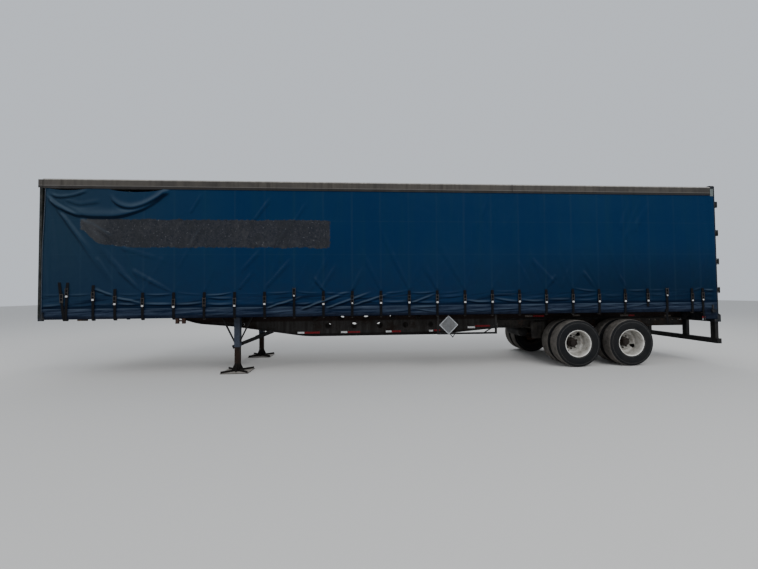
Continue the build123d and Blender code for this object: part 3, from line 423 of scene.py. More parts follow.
def leg_paint(name):
    """Grey-blue outer tube over a rusty lower tube and a black shoe with dust on it."""
    f = Finish(name, (0.13, 0.16, 0.2), 0.6)
    z = f.axis("Z")
    fine = f.noise(42, 6, 0.68)
    patches = f.blend(f.noise(5, 6, 0.65), fine, 0.55)
    upper = f.coats(
        f.mix(f.band(fine), (0.026, 0.033, 0.05), (0.05, 0.06, 0.082)),
        ((0.05, 0.026, 0.016), f.band(patches, 0.55, 0.62)),
    )
    shoe = f.mix(f.band(fine, 0.4, 0.7), (0.004, 0.004, 0.004), (0.022, 0.017, 0.014))
    dusty = f.both(f.band(z, 0.045, 0.035), f.band(fine, 0.3, 0.6, 0.65, 0.95))
    color = f.coats(
        f.mix(f.band(patches, 0.36, 0.6), (0.006, 0.0045, 0.004), (0.027, 0.015, 0.01)),
        (upper, f.band(z, 0.531, 0.537)),
        (shoe, f.band(z, 0.2, 0.16)),
        ((0.1, 0.088, 0.075), f.band(f.facing_up(), 0.35, 0.95), 0.35),
        ((0.33, 0.31, 0.28), f.band(f.facing_up(), 0.6, 0.95), dusty),
    )
    return f.finish(color, f.band(patches, 0.3, 0.7, 0.5, 0.85), f.bump(patches, 0.4, 0.004))


# Worn paints: paint, what shows under it, share of rust and of dust, then roughness and scale
WORN_PAINTS = {
    "chassis": ((0.0085, 0.0075, 0.007), (0.034, 0.016, 0.009), 0.6, 0.14),
    "under_rail": ((0.0085, 0.0055, 0.0045), (0.022, 0.009, 0.0055), 0.6, 0.06),
    "post": ((0.0028, 0.0046, 0.004), (0.03, 0.016, 0.01), 0.25, 0.1),
    "rail": ((0.03, 0.028, 0.026), (0.05, 0.024, 0.014), 0.45, 0.18),
    "wall": ((0.01, 0.022, 0.044), (0.05, 0.026, 0.016), 0.15, 0.12),
    "roof": ((0.5, 0.5, 0.49), (0.2, 0.15, 0.11), 0.1, 0.35, 0.45, 0.7),
    "frame": ((0.0022, 0.0044, 0.0085), (0.036, 0.018, 0.011), 0.3, 0.12),
    "black_steel": ((0.0038, 0.0038, 0.0042), (0.022, 0.011, 0.007), 0.28, 0.05),
    "spring": ((0.014, 0.011, 0.009), (0.042, 0.021, 0.012), 0.8, 0.16),
    "axle": ((0.0085, 0.0078, 0.0072), (0.034, 0.018, 0.011), 0.55, 0.18),
    # Dark paint for the wheels' backs, the inner wheels and the hand holes' walls: painted shade
    "wheel_back": ((0.006, 0.0052, 0.0048), (0.026, 0.014, 0.009), 0.5, 0.06),
    "hub": ((0.01, 0.0065, 0.005), (0.034, 0.017, 0.01), 0.6, 0.06),
    "door": ((0.012, 0.026, 0.05), (0.06, 0.032, 0.018), 0.16, 0.16),
}
# Bare metals: tone, roughness, share of dirt, metallic share and the way of the brushing
BARE_METALS = {
    "buckle": ((0.075, 0.07, 0.066), 0.5, 0.7, 0.6),
    "board": ((0.17, 0.175, 0.18), 0.5, 0.55, 0.25, "x"),
    "coupling": ((0.45, 0.45, 0.44), 0.45, 0.5, 0.8),
    "gear": ((0.034, 0.034, 0.033), 0.5, 0.6, 0.7),
    "cap": ((0.13, 0.15, 0.145), 0.6, 0.5, 0.2),
}
# Plain finishes: colour, roughness, how much the tone varies, scale of that and gloss coat
PLAIN = {
    "webbing": ((0.0035, 0.0035, 0.0045), 0.85, 0.5, 160),
    "button": ((0.5, 0.5, 0.5), 0.35, 0.1, 90),
    "border": ((0.33, 0.34, 0.35), 0.5, 0.3, 40),
    "lamp": ((0.38, 0.012, 0.01), 0.18, 0.2, 60, 0.6),
    "wheel_ring": ((0.052, 0.05, 0.048), 0.8, 0.4, 30),
    "piping": ((0.045, 0.056, 0.074), 0.6, 0.3, 60),
    "tape_red": ((0.21, 0.012, 0.016), 0.4, 0.45, 45),
    # White tape and buttons dimmed where they stand in shade: painted shade
    "tape_faded": ((0.135, 0.115, 0.1), 0.5, 0.45, 45),
    "tape_white": ((0.88, 0.87, 0.85), 0.4, 0.25, 45),
}
# Tyre rubber: specular, coarse and fine noise, tones, dusting, roughness and relief
RUBBERS = {
    "tyre": (
        0.16, (6, 6, 0.65), (70, 5, 0.7),
        ((0.0042, 0.0052, 0.0072), (0.01, 0.0102, 0.0108), (0.036, 0.033, 0.03)),
        (0.45, 0.8, 0.0, 0.4), (0.68, 0.92), (0.25, 0.0025),
    ),
    "tread": (
        0.25, (9, 6, 0.7), (110, 5, 0.7),
        ((0.062, 0.057, 0.052), (0.125, 0.114, 0.102), (0.17, 0.15, 0.126)),
        (0.5, 0.8, 0.0, 0.6), (0.8, 0.97), (0.35, 0.003),
    ),
}


def make_finishes():
    made = {
        "beam": beam_paint("beam"),
        "roof_rail": roof_rail_finish("roof_rail"),
        "deck": planks("deck"),
        "leg": leg_paint("leg"),
        "wheel": rim_paint("wheel"),
        # A lighter copy of the wheel paint for the outer rim's lip: painted highlight
        "wheel_lip_highlight": rim_paint("wheel_lip_highlight", 1.7),
        "curtain": curtain_cloth("curtain", True),
        "curtain_plain": curtain_cloth("curtain_plain", False),
    }
    tables = ((worn_paint, WORN_PAINTS), (bare_metal, BARE_METALS), (flat_finish, PLAIN), (rubber, RUBBERS))
    for maker, table in tables:
        for name, row in table.items():
            made[name] = maker(name, *row)
    return made


FINISHES = make_finishes()
# Nodes whose finish isn't named like their slot
OWN_FINISH = {
    "roof_rails": "roof_rail", "curtain_tensioners": "frame", "main_beams": "beam",
    "side_rails": "under_rail", "front_posts": "post",
}


def dress_nodes():
    """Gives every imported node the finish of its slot, or its own."""
    slot_of = {s["node"]: s["material_slot"] for s in frame["record"]["subparts"]}
    for name, node in frame["nodes"].items():
        node.data.materials.clear()
        node.data.materials.append(FINISHES[OWN_FINISH.get(name, slot_of[name])])


# Mesh making


class Shape:
    """Collects vertices and faces with a material number for each face."""

    def __init__(self):
        self.points, self.faces, self.marks = [], [], []

    def add(self, points, faces, mark=0):
        base = len(self.points)
        self.points += [tuple(p) for p in points]
        self.faces += [tuple(base + i for i in face) for face in faces]
        self.marks += [mark] * len(faces)

    def box(self, corner, opposite, mark=0):
        """A box from any corner to the opposite one."""
        (x0, x1), (y0, y1), (z0, z1) = (sorted(pair) for pair in zip(corner, opposite))
        points = [(x, y, z) for z in (z0, z1) for x, y in ((x0, y0), (x1, y0), (x1, y1), (x0, y1))]
        faces = [(3, 2, 1, 0), (4, 5, 6, 7), (0, 1, 5, 4), (1, 2, 6, 5), (2, 3, 7, 6), (3, 0, 4, 7)]
        self.add(points, faces, mark)

    def lathe(self, profile, centre, steps, marks=None, closed=True):
        """Turns (distance along Y, radius) points about the Y axis through centre."""
        rings, base = len(profile), len(self.points)
        for along, radius in profile:
            for i in range(steps):
                a = 2 * math.pi * i / steps
                offset = (radius * math.cos(a), along, radius * math.sin(a))
                self.points.append(tuple(o + d for o, d in zip(centre, offset)))
        for r in range(rings if closed else rings - 1):
            for i in range(steps):
                j = (i + 1) % steps
                a, b = base + r * steps, base + (r + 1) % rings * steps
                self.faces.append((a + i, a + j, b + j, b + i))
                self.marks.append(marks[r] if marks else 0)

    def rod(self, start, end, radius, mark=0, steps=12):
        start, end = Vector(start), Vector(end)
        turn = (end - start).to_track_quat("Z", "Y").to_matrix()
        angles = [2 * math.pi * i / steps for i in range(steps)]
        ring = [turn @ Vector((radius * math.cos(a), radius * math.sin(a), 0)) for a in angles]
        faces = [(i, (i + 1) % steps, steps + (i + 1) % steps, steps + i) for i in range(steps)]
        faces += [tuple(range(steps))[::-1], tuple(range(steps, 2 * steps))]
        self.add([start + p for p in ring] + [end + p for p in ring], faces, mark)

    def make(self, name, finishes, slot, replaced=(), smooth_angle=35, bevel=0.0, body="trailer"):
        mesh = bpy.data.meshes.new(name)
        mesh.from_pydata(self.points, [], self.faces)
        for finish in finishes:
            mesh.materials.append(FINISHES[finish])
        mesh.polygons.foreach_set("material_index", self.marks)
        mesh.validate()
        piece = placed(name, mesh)
        work = bmesh.new()
        work.from_mesh(mesh)
        bmesh.ops.recalc_face_normals(work, faces=work.faces)
        work.to_mesh(mesh)
        work.free()
        if smooth_angle:
            mesh.shade_smooth()
            mesh.set_sharp_from_angle(angle=math.radians(smooth_angle))
        if bevel:
            edges = piece.modifiers.new("edges", "BEVEL")
            edges.width = bevel
            edges.segments = 2
            edges.limit_method = "ANGLE"
            edges.angle_limit = math.radians(40)
        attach(piece, body)
        if replaced:
            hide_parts(*replaced)


# Curtain

# Straps: stations of the top and the foot, height of the top, height and look of the buckle's tip
BARE, DULL, BRIGHT = 0, 1, 2
EVEN_TIPS = (
    1.46, 1.434, 1.45, 1.443, 1.473, 1.64, 1.459, 1.473, 1.471,
    1.474, 1.474, 1.47, 1.47, 1.47, 1.452, 1.455, 1.455, 1.455,
)
EVEN_LOOKS = {2: BARE, 5: DULL, 7: DULL}
STRAP_ROWS = (
    [(0.43, 0.528, 1.95, 1.552, BARE), (0.59, 0.56, 1.945, 1.665, BRIGHT)]
    + [(1.08, 1.08, 1.89, 1.592, BRIGHT), (1.5, 1.5, 1.81, 1.502, BRIGHT)]
    + [
        (STRAP_X0 + STRAP_PITCH * i,) * 2 + (STRAP_TOP_Z, tip, EVEN_LOOKS.get(i, BRIGHT))
        for i, tip in enumerate(EVEN_TIPS)
    ]
    + [(12.94, 12.94, STRAP_TOP_Z, 1.46, BRIGHT), (13.4, 13.4, STRAP_TOP_Z, 1.575, DULL)]
    + [(14.005, 14.005, STRAP_TOP_Z, 1.455, DULL), (14.265, 14.265, STRAP_TOP_Z, 1.47, DULL)]
)
# A strap that hangs unhooked, and the loose ends: station, lowest point, width
UNHOOKED = 12.94
LOOSE_ENDS = ((13.372, 0.935, 0.05), (14.262, 0.992, 0.036))
# Stations of the straps on each curtain, front to back, the first two taken as one
STATIONS = [0.515] + [row[0] for row in STRAP_ROWS[2:]]

# Folds seen in the photograph: start and end there, then depth and the widths at both ends in mm
PHOTO_CREASES = (
    (43, 192, 97, 258, 22, 40, 40), (50, 200, 82, 219, 19, 30, 36), (82, 219, 118, 241, 16, 34, 34),
    (97, 258, 117, 288, 19, 40, 26), (66, 212, 96, 252, 14, 30, 34), (190, 213, 202, 193, 21, 20, 34),
    (189, 248, 203, 225, 23, 22, 34), (178, 268, 190, 247, 16, 22, 34), (118, 270, 143, 293, 18, 34, 22),
    (133, 270, 171, 292, 18, 36, 22), (120, 247, 170, 262, 14, 30, 40), (94, 289, 116, 297, 19, 22, 30),
    (116, 298, 144, 304, 16, 26, 26), (254, 220, 272, 196, 19, 26, 40), (276, 247, 292, 220, 19, 26, 40),
    (240, 272, 263, 247, 18, 26, 40), (239, 289, 254, 270, 23, 20, 40), (266, 287, 293, 257, 21, 20, 44),
    (294, 222, 308, 200, 18, 26, 40), (322, 288, 338, 262, 19, 20, 44), (324, 291, 312, 276, 19, 20, 36),
    (352, 290, 362, 268, 16, 20, 40), (268, 308, 302, 297, 25, 20, 30), (303, 309, 346, 293, 35, 20, 34),
    (328, 308, 372, 292, 27, 20, 34), (352, 306, 392, 293, 21, 20, 30), (412, 303, 436, 294, 16, 20, 28),
    (584, 272, 596, 288, 19, 40, 22), (556, 276, 547, 288, 16, 40, 22), (620, 276, 628, 289, 14, 40, 22),
)
# More folds of the left curtain, ends given as station and height
LEFT_CREASES = (
    (0.17, 3.74, 1.5, 1.8, 16, 30, 45), (0.3, 3.62, 1.3, 2.2, 12, 40, 60),
    (0.79, 3.27, 1.31, 2.7, 12, 35, 50), (1.22, 2.66, 2.02, 1.77, 10, 60, 30),
    (1.35, 2.45, 2.04, 1.77, 8, 50, 25), (1.6, 2.25, 2.62, 1.75, 8, 60, 28),
    (0.14, 3.7, 0.22, 1.55, 12, 30, 50), (0.22, 3.6, 0.52, 1.85, 6, 40, 40),
    (0.3, 3.3, 1.06, 1.86, 6, 50, 35), (5.43, 1.76, 5.88, 2.62, 11, 22, 60),
    (5.7, 2.2, 6.05, 3.78, 8, 50, 70), (10.26, 2.4, 10.9, 1.76, 9, 60, 24),
    (9.95, 2.35, 10.26, 1.76, 8, 55, 24), (10.92, 1.76, 11.2, 2.35, 8, 24, 60),
    (11.9, 2.15, 12.1, 1.76, 6, 50, 24), (9.35, 1.76, 9.55, 2.1, 5, 24, 50),
)
# Hanging folds under the track: points in the photograph
PHOTO_SWAGS = (
    ((43, 191), (55, 195), (70, 194), (80, 192), (90, 190)),
    ((107, 190), (112, 198), (120, 204), (131, 206), (143, 203), (158, 196), (171, 191)),
    (
        (46, 195), (53, 202), (62, 209), (80, 215), (100, 216.5),
        (120, 215.5), (140, 209), (157, 199.5), (171, 191),
    ),
    ((60, 196), (80, 203), (104, 201)),
)
# Their depths, then widths above and below the line
SWAG_SIZES = ((0.018, 0.046, 0.018), (0.026, 0.085, 0.028), (0.034, 0.12, 0.032), (0.01, 0.06, 0.03))


def crease_table(side):
    """Tension folds in the cloth: start, end, depth, width at the start, width at the end."""
    rng = random.Random(11 if side < 0 else 23)
    rows = []
    if side < 0:
        for x0, y0, x1, y1, *sizes in PHOTO_CREASES:
            rows.append((on_curtain(x0, y0), on_curtain(x1, y1), *(size / 1000 for size in sizes)))
        for s0, z0, s1, z1, *sizes in LEFT_CREASES:
            rows.append(((s0, z0), (s1, z1), *(size / 1000 for size in sizes)))
    for station in STATIONS[3:]:
        for lean in (-1, 1):
            if rng.random() < (0.5 if lean < 0 else 0.85):
                reach = rng.uniform(0.25, 0.75)
                tall = reach * rng.uniform(1.6, 2.6)
                depth = rng.uniform(0.004, 0.01) * (1.0 if station < 9 or lean < 0 else 0.75)
                rows.append(((station, 1.75), (station + lean * reach, 1.75 + tall), depth, 0.022, 0.075))
    for _ in range(16):
        x = rng.uniform(2.4, 13.8)
        lean = rng.uniform(0.12, 0.55)
        z = rng.uniform(2.6, 3.2)
        rows.append(((x, z), (x + lean, 3.82), rng.uniform(0.004, 0.009), 0.045, 0.045))
    return rows


def crease_push(rows, x, z):
    total = 0.0
    for (x0, z0), (x1, z1), depth, w0, w1 in rows:
        dx, dz = x1 - x0, z1 - z0
        length = math.hypot(dx, dz)
        t = ((x - x0) * dx + (z - z0) * dz) / (length * length)
        if t < -0.06 or t > 1.1:
            continue
        away = ((x - x0) * dz - (z - z0) * dx) / length
        width = w0 + (w1 - w0) * clamp(t)
        if abs(away) > 3 * width:
            continue
        fade = smooth(-0.06, 0.08, t) * (1 - smooth(0.55, 1.1, t))
        total += depth * fade * (bell(away, width) - 0.55 * bell(away + 1.5 * width, width))
    return total


SWAGS = [([on_curtain(*p) for p in points], *sizes) for points, sizes in zip(PHOTO_SWAGS, SWAG_SIZES)]
# Where the cloth hangs off the track: start, end and the most that it falls
FALLS = ((0.14, 0.93, 0.048), (1.33, 2.42, 0.072))


def line_at(points, x):
    """Height of a hanging line at a station, smooth through its points."""
    last = len(points) - 1
    for i in range(last):
        (x0, z0), (x1, z1) = points[i], points[i + 1]
        if x <= x1:
            before, after = points[max(0, i - 1)], points[min(last, i + 2)]
            run = x1 - x0
            slope0 = (z1 - before[1]) / (x1 - before[0]) * run
            slope1 = (after[1] - z0) / (after[0] - x0) * run
            t = clamp((x - x0) / run)
            a, b = t * t * (3 - 2 * t), t * t * (t - 1)
            return z0 + (z1 - z0) * a + slope0 * (t - 2 * t * t + t * t * t) + slope1 * b
    return points[-1][1]


def front_lean(s, z):
    """The cloth's front edge leans back towards the roof."""
    return 0.045 * smooth(2.4, 3.9, z) * (1 - clamp(s / 0.8))


# Folds that hang between two straps: height, depth and width
STRAP_FOLDS = (
    (1.7, 0.014, 0.024), (1.6, 0.012, 0.036), (1.49, 0.018, 0.03),
    (1.37, 0.012, 0.022), (1.3, 0.01, 0.02),
)


def strap_gap(x):
    """The two straps beside a station and how far between them it lies."""
    for a, b in zip([0.0] + STATIONS, STATIONS + [BODY_L]):
        if a <= x <= b:
            return a, b, (x - a) / (b - a)
    return 0.0, BODY_L, 0.5


def near_strap(x):
    return min(abs(x - s) for s in STATIONS)


def curtain_push(side, rows, x, z):
    """How far the cloth stands out from its flat plane at a station and height."""
    push = crease_push(rows, x, z)
    soft = noise.noise(Vector((x * 0.55, 7.0 * side, z * 0.8)))
    push += 0.01 * soft * smooth(1.35, 2.1, z) * (1 - smooth(3.5, 3.85, z))
    push += 0.0035 * noise.noise(Vector((x * 2.6, 3.0 * side, z * 0.55))) * smooth(1.4, 2.0, z)
    if side < 0:
        for points, depth, over, under in SWAGS:
            x0, x1 = points[0][0], points[-1][0]
            if x0 < x < x1:
                ends = smooth(x0, x0 + 0.16, x) * (1 - smooth(x1 - 0.18, x1, x))
                above = z - line_at(points, x)
                push += depth * ends * bell(above, over if above > 0 else under)
                push -= 0.4 * depth * ends * bell(above + 2.2 * under, under * 1.2)
    # Between straps the cloth bags out and hangs in shallow folds; a strap pinches it in
    a, b, t = strap_gap(x)
    belly = math.sin(math.pi * t)
    low = 1 - smooth(STRAP_TOP_Z - 0.06, STRAP_TOP_Z + 0.05, z)
    pull = bell(near_strap(x), 0.05)
    push -= 0.006 * pull * low
    key = int(a * 7) * 1.7 + (5 if side > 0 else 0)
    for index, (height, depth, width) in enumerate(STRAP_FOLDS):
        tilt = 0.13 * noise.noise(Vector((key, index * 3.1, 1.0)))
        strength = clamp(0.42 + 1.5 * noise.noise(Vector((key, index * 2.3, 9.0))), 0.0, 1.2)
        height += 0.03 * noise.noise(Vector((key, index * 5.1, 6.0)))
        sag = 0.018 + 0.04 * noise.noise(Vector((key, index, 4.0)))
        line = height - sag * belly + tilt * (t - 0.5)
        above = z - line
        shape = bell(above, width) if above > 0 else bell(above, width * 0.5)
        push += depth * strength * (0.25 + 0.75 * belly) * shape
    hem = 1 - smooth(HEM_TOP_Z - 0.012, HEM_TOP_Z, z)
    push += 0.0035 * hem
    push += 0.007 * hem * math.sin(math.pi * t) * (0.6 + noise.noise(Vector((key, 2.0, z * 3))))
    # Raised webbing sewn above each strap, and the two welds
    push += 0.0022 * bell(near_strap(x), 0.022) * smooth(1.7, 1.8, z)
    for height in WELD_Z:
        push += 0.0016 * bell(z - height, 0.014)
    return push


def spaced(low, high, count):
    return [low + (high - low) * i / count for i in range(count + 1)]


# How far the cloth's rear edge laps over the portal's post, and the post's outer face
LAP = 0.074
POST_FACE = 1.2978
# The cloth's foot, the cut of its rear corner and what the hem and the track take up
FOOT_Z = 1.2
CUT_Z = 1.45


def fall_at(s):
    """How far the top edge of the left curtain has dropped at a station."""
    drop = 0.0
    for x0, x1, fall in FALLS:
        if x0 < s < x1:
            t = (s - x0) / (x1 - x0)
            drop = max(drop, fall * (4 * t * (1 - t)) ** 0.6)
    return drop


def curtain_piece(node, side, finish):
    """The cloth from the track to its foot, with its hem turned in."""
    low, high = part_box(node)
    plane = min(abs(low.y), abs(high.y)) + 0.0015
    # Columns 26 mm apart, and rows closer together towards the foot
    columns = spaced(low.x, high.x, 556) + spaced(high.x, high.x + LAP, 4)[1:]
    heights = spaced(TRACK_Z, 3.2, 28) + spaced(3.2, 1.8, 34)[1:] + spaced(1.8, FOOT_Z, 52)[1:]
    rows = crease_table(side)
    points = []
    for z in heights:
        for x in columns:
            s = x + BODY_L / 2
            drop = fall_at(s) if side < 0 else 0.0
            tail = smooth(14.285, 14.325, s) * (FOOT_Z - low.z)
            edge = min(smooth(0.089, 0.15, s), 1 - smooth(14.49, 14.528, s))
            lap = smooth(14.49, 14.525, s) * (POST_FACE - plane)
            top = 1 - smooth(3.83, TRACK_Z, z) * 0.9
            out = clamp(curtain_push(side, rows, s, z) * edge * top, -0.0005, 0.085)
            fallen = z - drop * smooth(3.2, TRACK_Z, z) - tail * clamp((CUT_Z - z) / 0.25)
            points.append((x + front_lean(s, z), side * (plane + out + lap), fallen))
    wide = len(columns)
    base = len(points) - wide
    for inward, up in ((0.006, 0.001), (0.0075, 0.045)):
        for x, y, z in points[base:base + wide]:
            points.append((x, y - side * inward, z + up))
    faces = []
    for r in range(len(heights) + 1):
        for a in range(r * wide, r * wide + wide - 1):
            b = a + wide
            faces.append((a, a + 1, b + 1, b) if side > 0 else (a, b, b + 1, a + 1))
    mesh = bpy.data.meshes.new(node + "_cloth")
    mesh.from_pydata(points, [], faces)
    mesh.materials.append(FINISHES[finish])
    mesh.shade_smooth()
    piece = placed(node + "_cloth", mesh)
    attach(piece, "trailer")
    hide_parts(node)


# Straps, buckles and hooks

STRAP_FACE = max(abs(corner.y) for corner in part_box("curtain_straps"))


def straps():
    """Black webbing straps with an over-centre buckle, a bright tip and a hook."""
    rng = random.Random(5)
    web, steel = Shape(), Shape()
    for side in (-1, 1):
        for top, foot, high, tip, look in STRAP_ROWS:
            wobble = rng.uniform(-0.006, 0.006)

            def across(z):
                return at(foot + (top - foot) * (z - 1.2) / (high - 1.2)) + wobble * (high - z)

            upper = [(high, 0.004), (high - 0.03, 0.01), (tip + 0.15, 0.013), (tip + 0.02, 0.016)]
            lower = [(tip + 0.03, 0.012), (tip - 0.06, 0.012)]
            if top == UNHOOKED:
                lower += [(1.345, 0.01), (1.33, 0.013)]
            else:
                lower += [(1.3, 0.012), (1.2, 0.008), (1.178, 0.007)]
                hook(steel, side, across(1.2))
            ribbon(web, side, across, upper, 0.056)
            ribbon(web, side, across, lower, 0.05)
            buckle(steel, side, across(tip), tip, look)
        # Two straps have loose ends that hang on below their hooks
        for start, low, wide in LOOSE_ENDS:
            stops = [(1.27, 0.016), (1.17, 0.017), (low + 0.03, 0.021), (low, 0.023)]
            ribbon(web, side, lambda z: at(start + 0.05 * (1.2 - z)), stops, wide)
    web.make("strap_webbing", ["webbing"], "webbing", ["curtain_straps"], 50)
    steel.make("strap_hardware", ["buckle", "button", "gear"], "buckle", ["strap_buckles"], 40)


def ribbon(shape, side, across, stops, width):
    """A flat strap through (height, distance out) stops."""
    points = []
    for z, out in stops:
        x, y = across(z), side * (STRAP_FACE - 0.004 + out)
        for dx in (-width / 2, width / 2):
            points += [(x + dx, y, z), (x + dx, y - side * 0.003, z)]
    faces = []
    for a in range(0, len(points) - 4, 4):
        b = a + 4
        faces += [(a, a + 2, b + 2, b), (a + 1, b + 1, b + 3, a + 3)]
        faces += [(a, b, b + 1, a + 1), (a + 2, a + 3, b + 3, b + 2)]
    end = len(points) - 4
    faces += [(0, 1, 3, 2), (end, end + 2, end + 3, end + 1)]
    shape.add(points, faces)


def buckle(shape, side, x, tip, look):
    """Over-centre lever: two cheeks, cross bars and a bright pressed tip."""
    for dx in (-0.03, 0.024):
        low = (x + dx, side * (STRAP_FACE + 0.004), tip - 0.02)
        shape.box(low, (x + dx + 0.006, side * (STRAP_FACE + 0.017), tip + 0.17))
    y = side * (STRAP_FACE + 0.01)
    for dz in (0.15, 0.075, 0.02):
        shape.rod((x - 0.032, y, tip + dz), (x + 0.032, y, tip + dz), 0.005, 0, 8)
    wide, tall, mark = {BARE: (0.024, 0.014, 2), DULL: (0.013, 0.014, 1), BRIGHT: (0.02, 0.017, 1)}[look]
    low = (x - wide, side * (STRAP_FACE + 0.002), tip - tall)
    shape.box(low, (x + wide, side * (STRAP_FACE + 0.019), tip + tall), mark)


def hook(shape, side, x):
    """A flat hook that goes under the foot of the side rail."""
    y_out = STRAP_FACE - 0.002
    y_in = y_out - 0.045
    for low, high, z0, z1 in (
        (y_out - 0.004, y_out, 1.172, 1.215),
        (y_in, y_out, 1.168, 1.173),
        (y_in, y_in + 0.004, 1.172, 1.2),
    ):
        shape.box((x - 0.018, side * low, z0), (x + 0.018, side * high, z1))


# Tyres and wheels

TYRE_R = 0.52
AXLES = {"front": 11.3, "rear": 12.545}
# Where the first hand hole of the outer wheels stands, in degrees
HOLE_ANGLE = {"front": 54.0, "rear": -27.0}
DUAL_Y = 0.985
DUAL_PITCH = 0.343
HOLE_R = 0.045
HOLE_AT = 0.227
# One groove of the tread, then half of a tyre's wall from bead to shoulder: distance across and radius
TYRE_GROOVE = ((0.006, 0.5185), (0.0045, 0.509), (-0.0045, 0.509), (-0.006, 0.519))
TYRE_WALL = [
    (0.095, 0.287), (0.108, 0.292), (0.118, 0.306), (0.121, 0.316), (0.127, 0.322), (0.134, 0.35),
    (0.1395, 0.392), (0.14, 0.42), (0.1365, 0.452), (0.1345, 0.455), (0.1345, 0.462), (0.13, 0.478),
    (0.124, 0.496), (0.1165, 0.508), (0.106, 0.515),
]
# Rim, outer skin: distance out from the mounting face and radius
BARREL = [
    (0.286, 0.284), (0.29, 0.29), (0.292, 0.298), (0.288, 0.3), (0.283, 0.297), (0.281, 0.287),
    (0.262, 0.2855), (0.2, 0.2845), (0.08, 0.2845), (0.064, 0.287), (0.06, 0.299), (0.056, 0.299),
    (0.055, 0.286), (0.066, 0.279), (0.092, 0.2745), (0.19, 0.2745), (0.238, 0.27), (0.262, 0.2735),
    (0.28, 0.2795),
]
RIM_LIP_POINTS = 5
DISH = [
    (0.012, 0.112), (0.012, 0.165), (0.02, 0.178), (0.062, 0.197), (0.084, 0.208), (0.09, 0.22),
    (0.088, 0.24), (0.08, 0.262), (0.078, 0.2745),
]
# Drum and hub: distance from the trailer's middle and radius
DRUM = [
    (0.737, 0.1), (0.737, 0.2), (0.741, 0.208), (0.76, 0.209), (0.762, 0.203), (0.918, 0.203),
    (0.922, 0.209), (0.93, 0.207), (0.934, 0.165), (0.971, 0.163), (0.972, 0.11),
]
NOSE = [
    (0.973, 0.109), (1.0, 0.104), (1.045, 0.098), (1.052, 0.104), (1.066, 0.104), (1.072, 0.096),
    (1.085, 0.088), (1.112, 0.083), (1.122, 0.074), (1.1245, 0.03), (1.1245, 0.0005),
]


def around(x, count, radius, turn=0.0):
    """Places in a ring about a wheel's centre."""
    angles = [2 * math.pi * (i + turn) / count for i in range(count)]
    return [(x + radius * math.cos(a), TYRE_R + radius * math.sin(a)) for a in angles]


def tyre_profile(centre):
    """Ribbed tread with four grooves, rounded shoulders, a full wall and a bead."""
    half = TYRE_WALL + [(0.1, 0.5165)]
    for groove in (0.08, 0.028):
        half += [(groove + across, r) for across, r in TYRE_GROOVE]
    return [(centre - a, r) for a, r in half] + [(centre + a, r) for a, r in reversed(half)]


def tyre_pair(x, side, end):
    shape = Shape()
    for out in (1, -1):
        profile = tyre_profile(side * (DUAL_Y + out * DUAL_PITCH / 2))
        marks = [1 if r > 0.505 else 2 if 0.4535 < r < 0.457 or 0.315 < r < 0.321 else 0 for a, r in profile]
        shape.lathe(profile, (x, 0, TYRE_R), 96, marks)
    node = "tyres_" + end
    shape.make(node + "_ribbed", ["tyre", "tread", "wheel_ring"], "tyre", [node], 28, body="wheel_" + end)


def wheel_pair(x, side, end, hole_angle):
    """Two steel discs, dish to dish, each with two round hand holes and ten nuts."""
    shape = Shape()
    for facing in (1, -1):
        # The outer wheel's back and the whole inner wheel take the dark paint of painted shade
        plain, back = (0, 2) if facing > 0 else (2, 2)
        # The outer wheel's lip takes the lighter copy of the wheel paint: painted highlight
        marks = [3 if i < RIM_LIP_POINTS and facing > 0 else plain for i in range(len(BARREL))]
        shape.lathe([(side * (DUAL_Y + facing * a), r) for a, r in BARREL], (x, 0, TYRE_R), 72, marks)
        disc(shape, x, side, facing, hole_angle, (back, plain))
    for nx, nz in around(x, 10, 0.1429, 0.5):
        for y0, y1, radius, steps in ((0.012, 0.04, 0.0165, 6), (0.04, 0.058, 0.01, 8)):
            shape.rod((nx, side * (DUAL_Y + y0), nz), (nx, side * (DUAL_Y + y1), nz), radius, 1, steps)
    node, finishes = "wheels_" + end, ["wheel", "hub", "wheel_back", "wheel_lip_highlight"]
    shape.make(node + "_discs", finishes, "wheel", [node], 32, body="wheel_" + end)


def disc(shape, x, side, facing, hole_angle, marks):
    """The dished plate of a wheel, with its two hand holes left open."""
    thick, steps = 0.01, 144
    angles = [math.radians(hole_angle + turn) for turn in (0, 180)]
    centres = [Vector((math.cos(a), math.sin(a))) * HOLE_AT for a in angles]

    def in_hole(r, t):
        place = Vector((r * math.cos(t), r * math.sin(t)))
        return any((place - centre).length < HOLE_R for centre in centres)

    fine = []
    for (a0, r0), (a1, r1) in zip(DISH, DISH[1:]):
        parts = max(1, int((r1 - r0) / 0.008))
        fine += [(a0 + (a1 - a0) * k / parts, r0 + (r1 - r0) * k / parts) for k in range(parts)]
    fine.append(DISH[-1])
    rows = len(fine)
    front = len(shape.points)
    back = front + rows * steps
    for layer in (thick, 0.0):
        for a, r in fine:
            for i in range(steps):
                t = 2 * math.pi * i / steps
                y = side * (DUAL_Y + facing * (a - layer))
                shape.points.append((x + r * math.cos(t), y, TYRE_R + r * math.sin(t)))
    kept = set()
    for k in range(rows - 1):
        for i in range(steps):
            if not in_hole((fine[k][1] + fine[k + 1][1]) / 2, 2 * math.pi * (i + 0.5) / steps):
                kept.add((k, i))
    for k, i in kept:
        j = (i + 1) % steps
        low, high = k * steps, (k + 1) * steps
        for base, mark in zip((front, back), marks):
            shape.faces.append((base + low + i, base + low + j, base + high + j, base + high + i))
            shape.marks.append(mark)
        # Walls where the next cell is open, in the dark paint of painted shade
        for dk, di, p, q in (
            (-1, 0, low + i, low + j), (1, 0, high + i, high + j),
            (0, -1, low + i, high + i), (0, 1, low + j, high + j),
        ):
            if (k + dk, (i + di) % steps) not in kept:
                shape.faces.append((front + p, front + q, back + q, back + p))
                shape.marks.append(2)


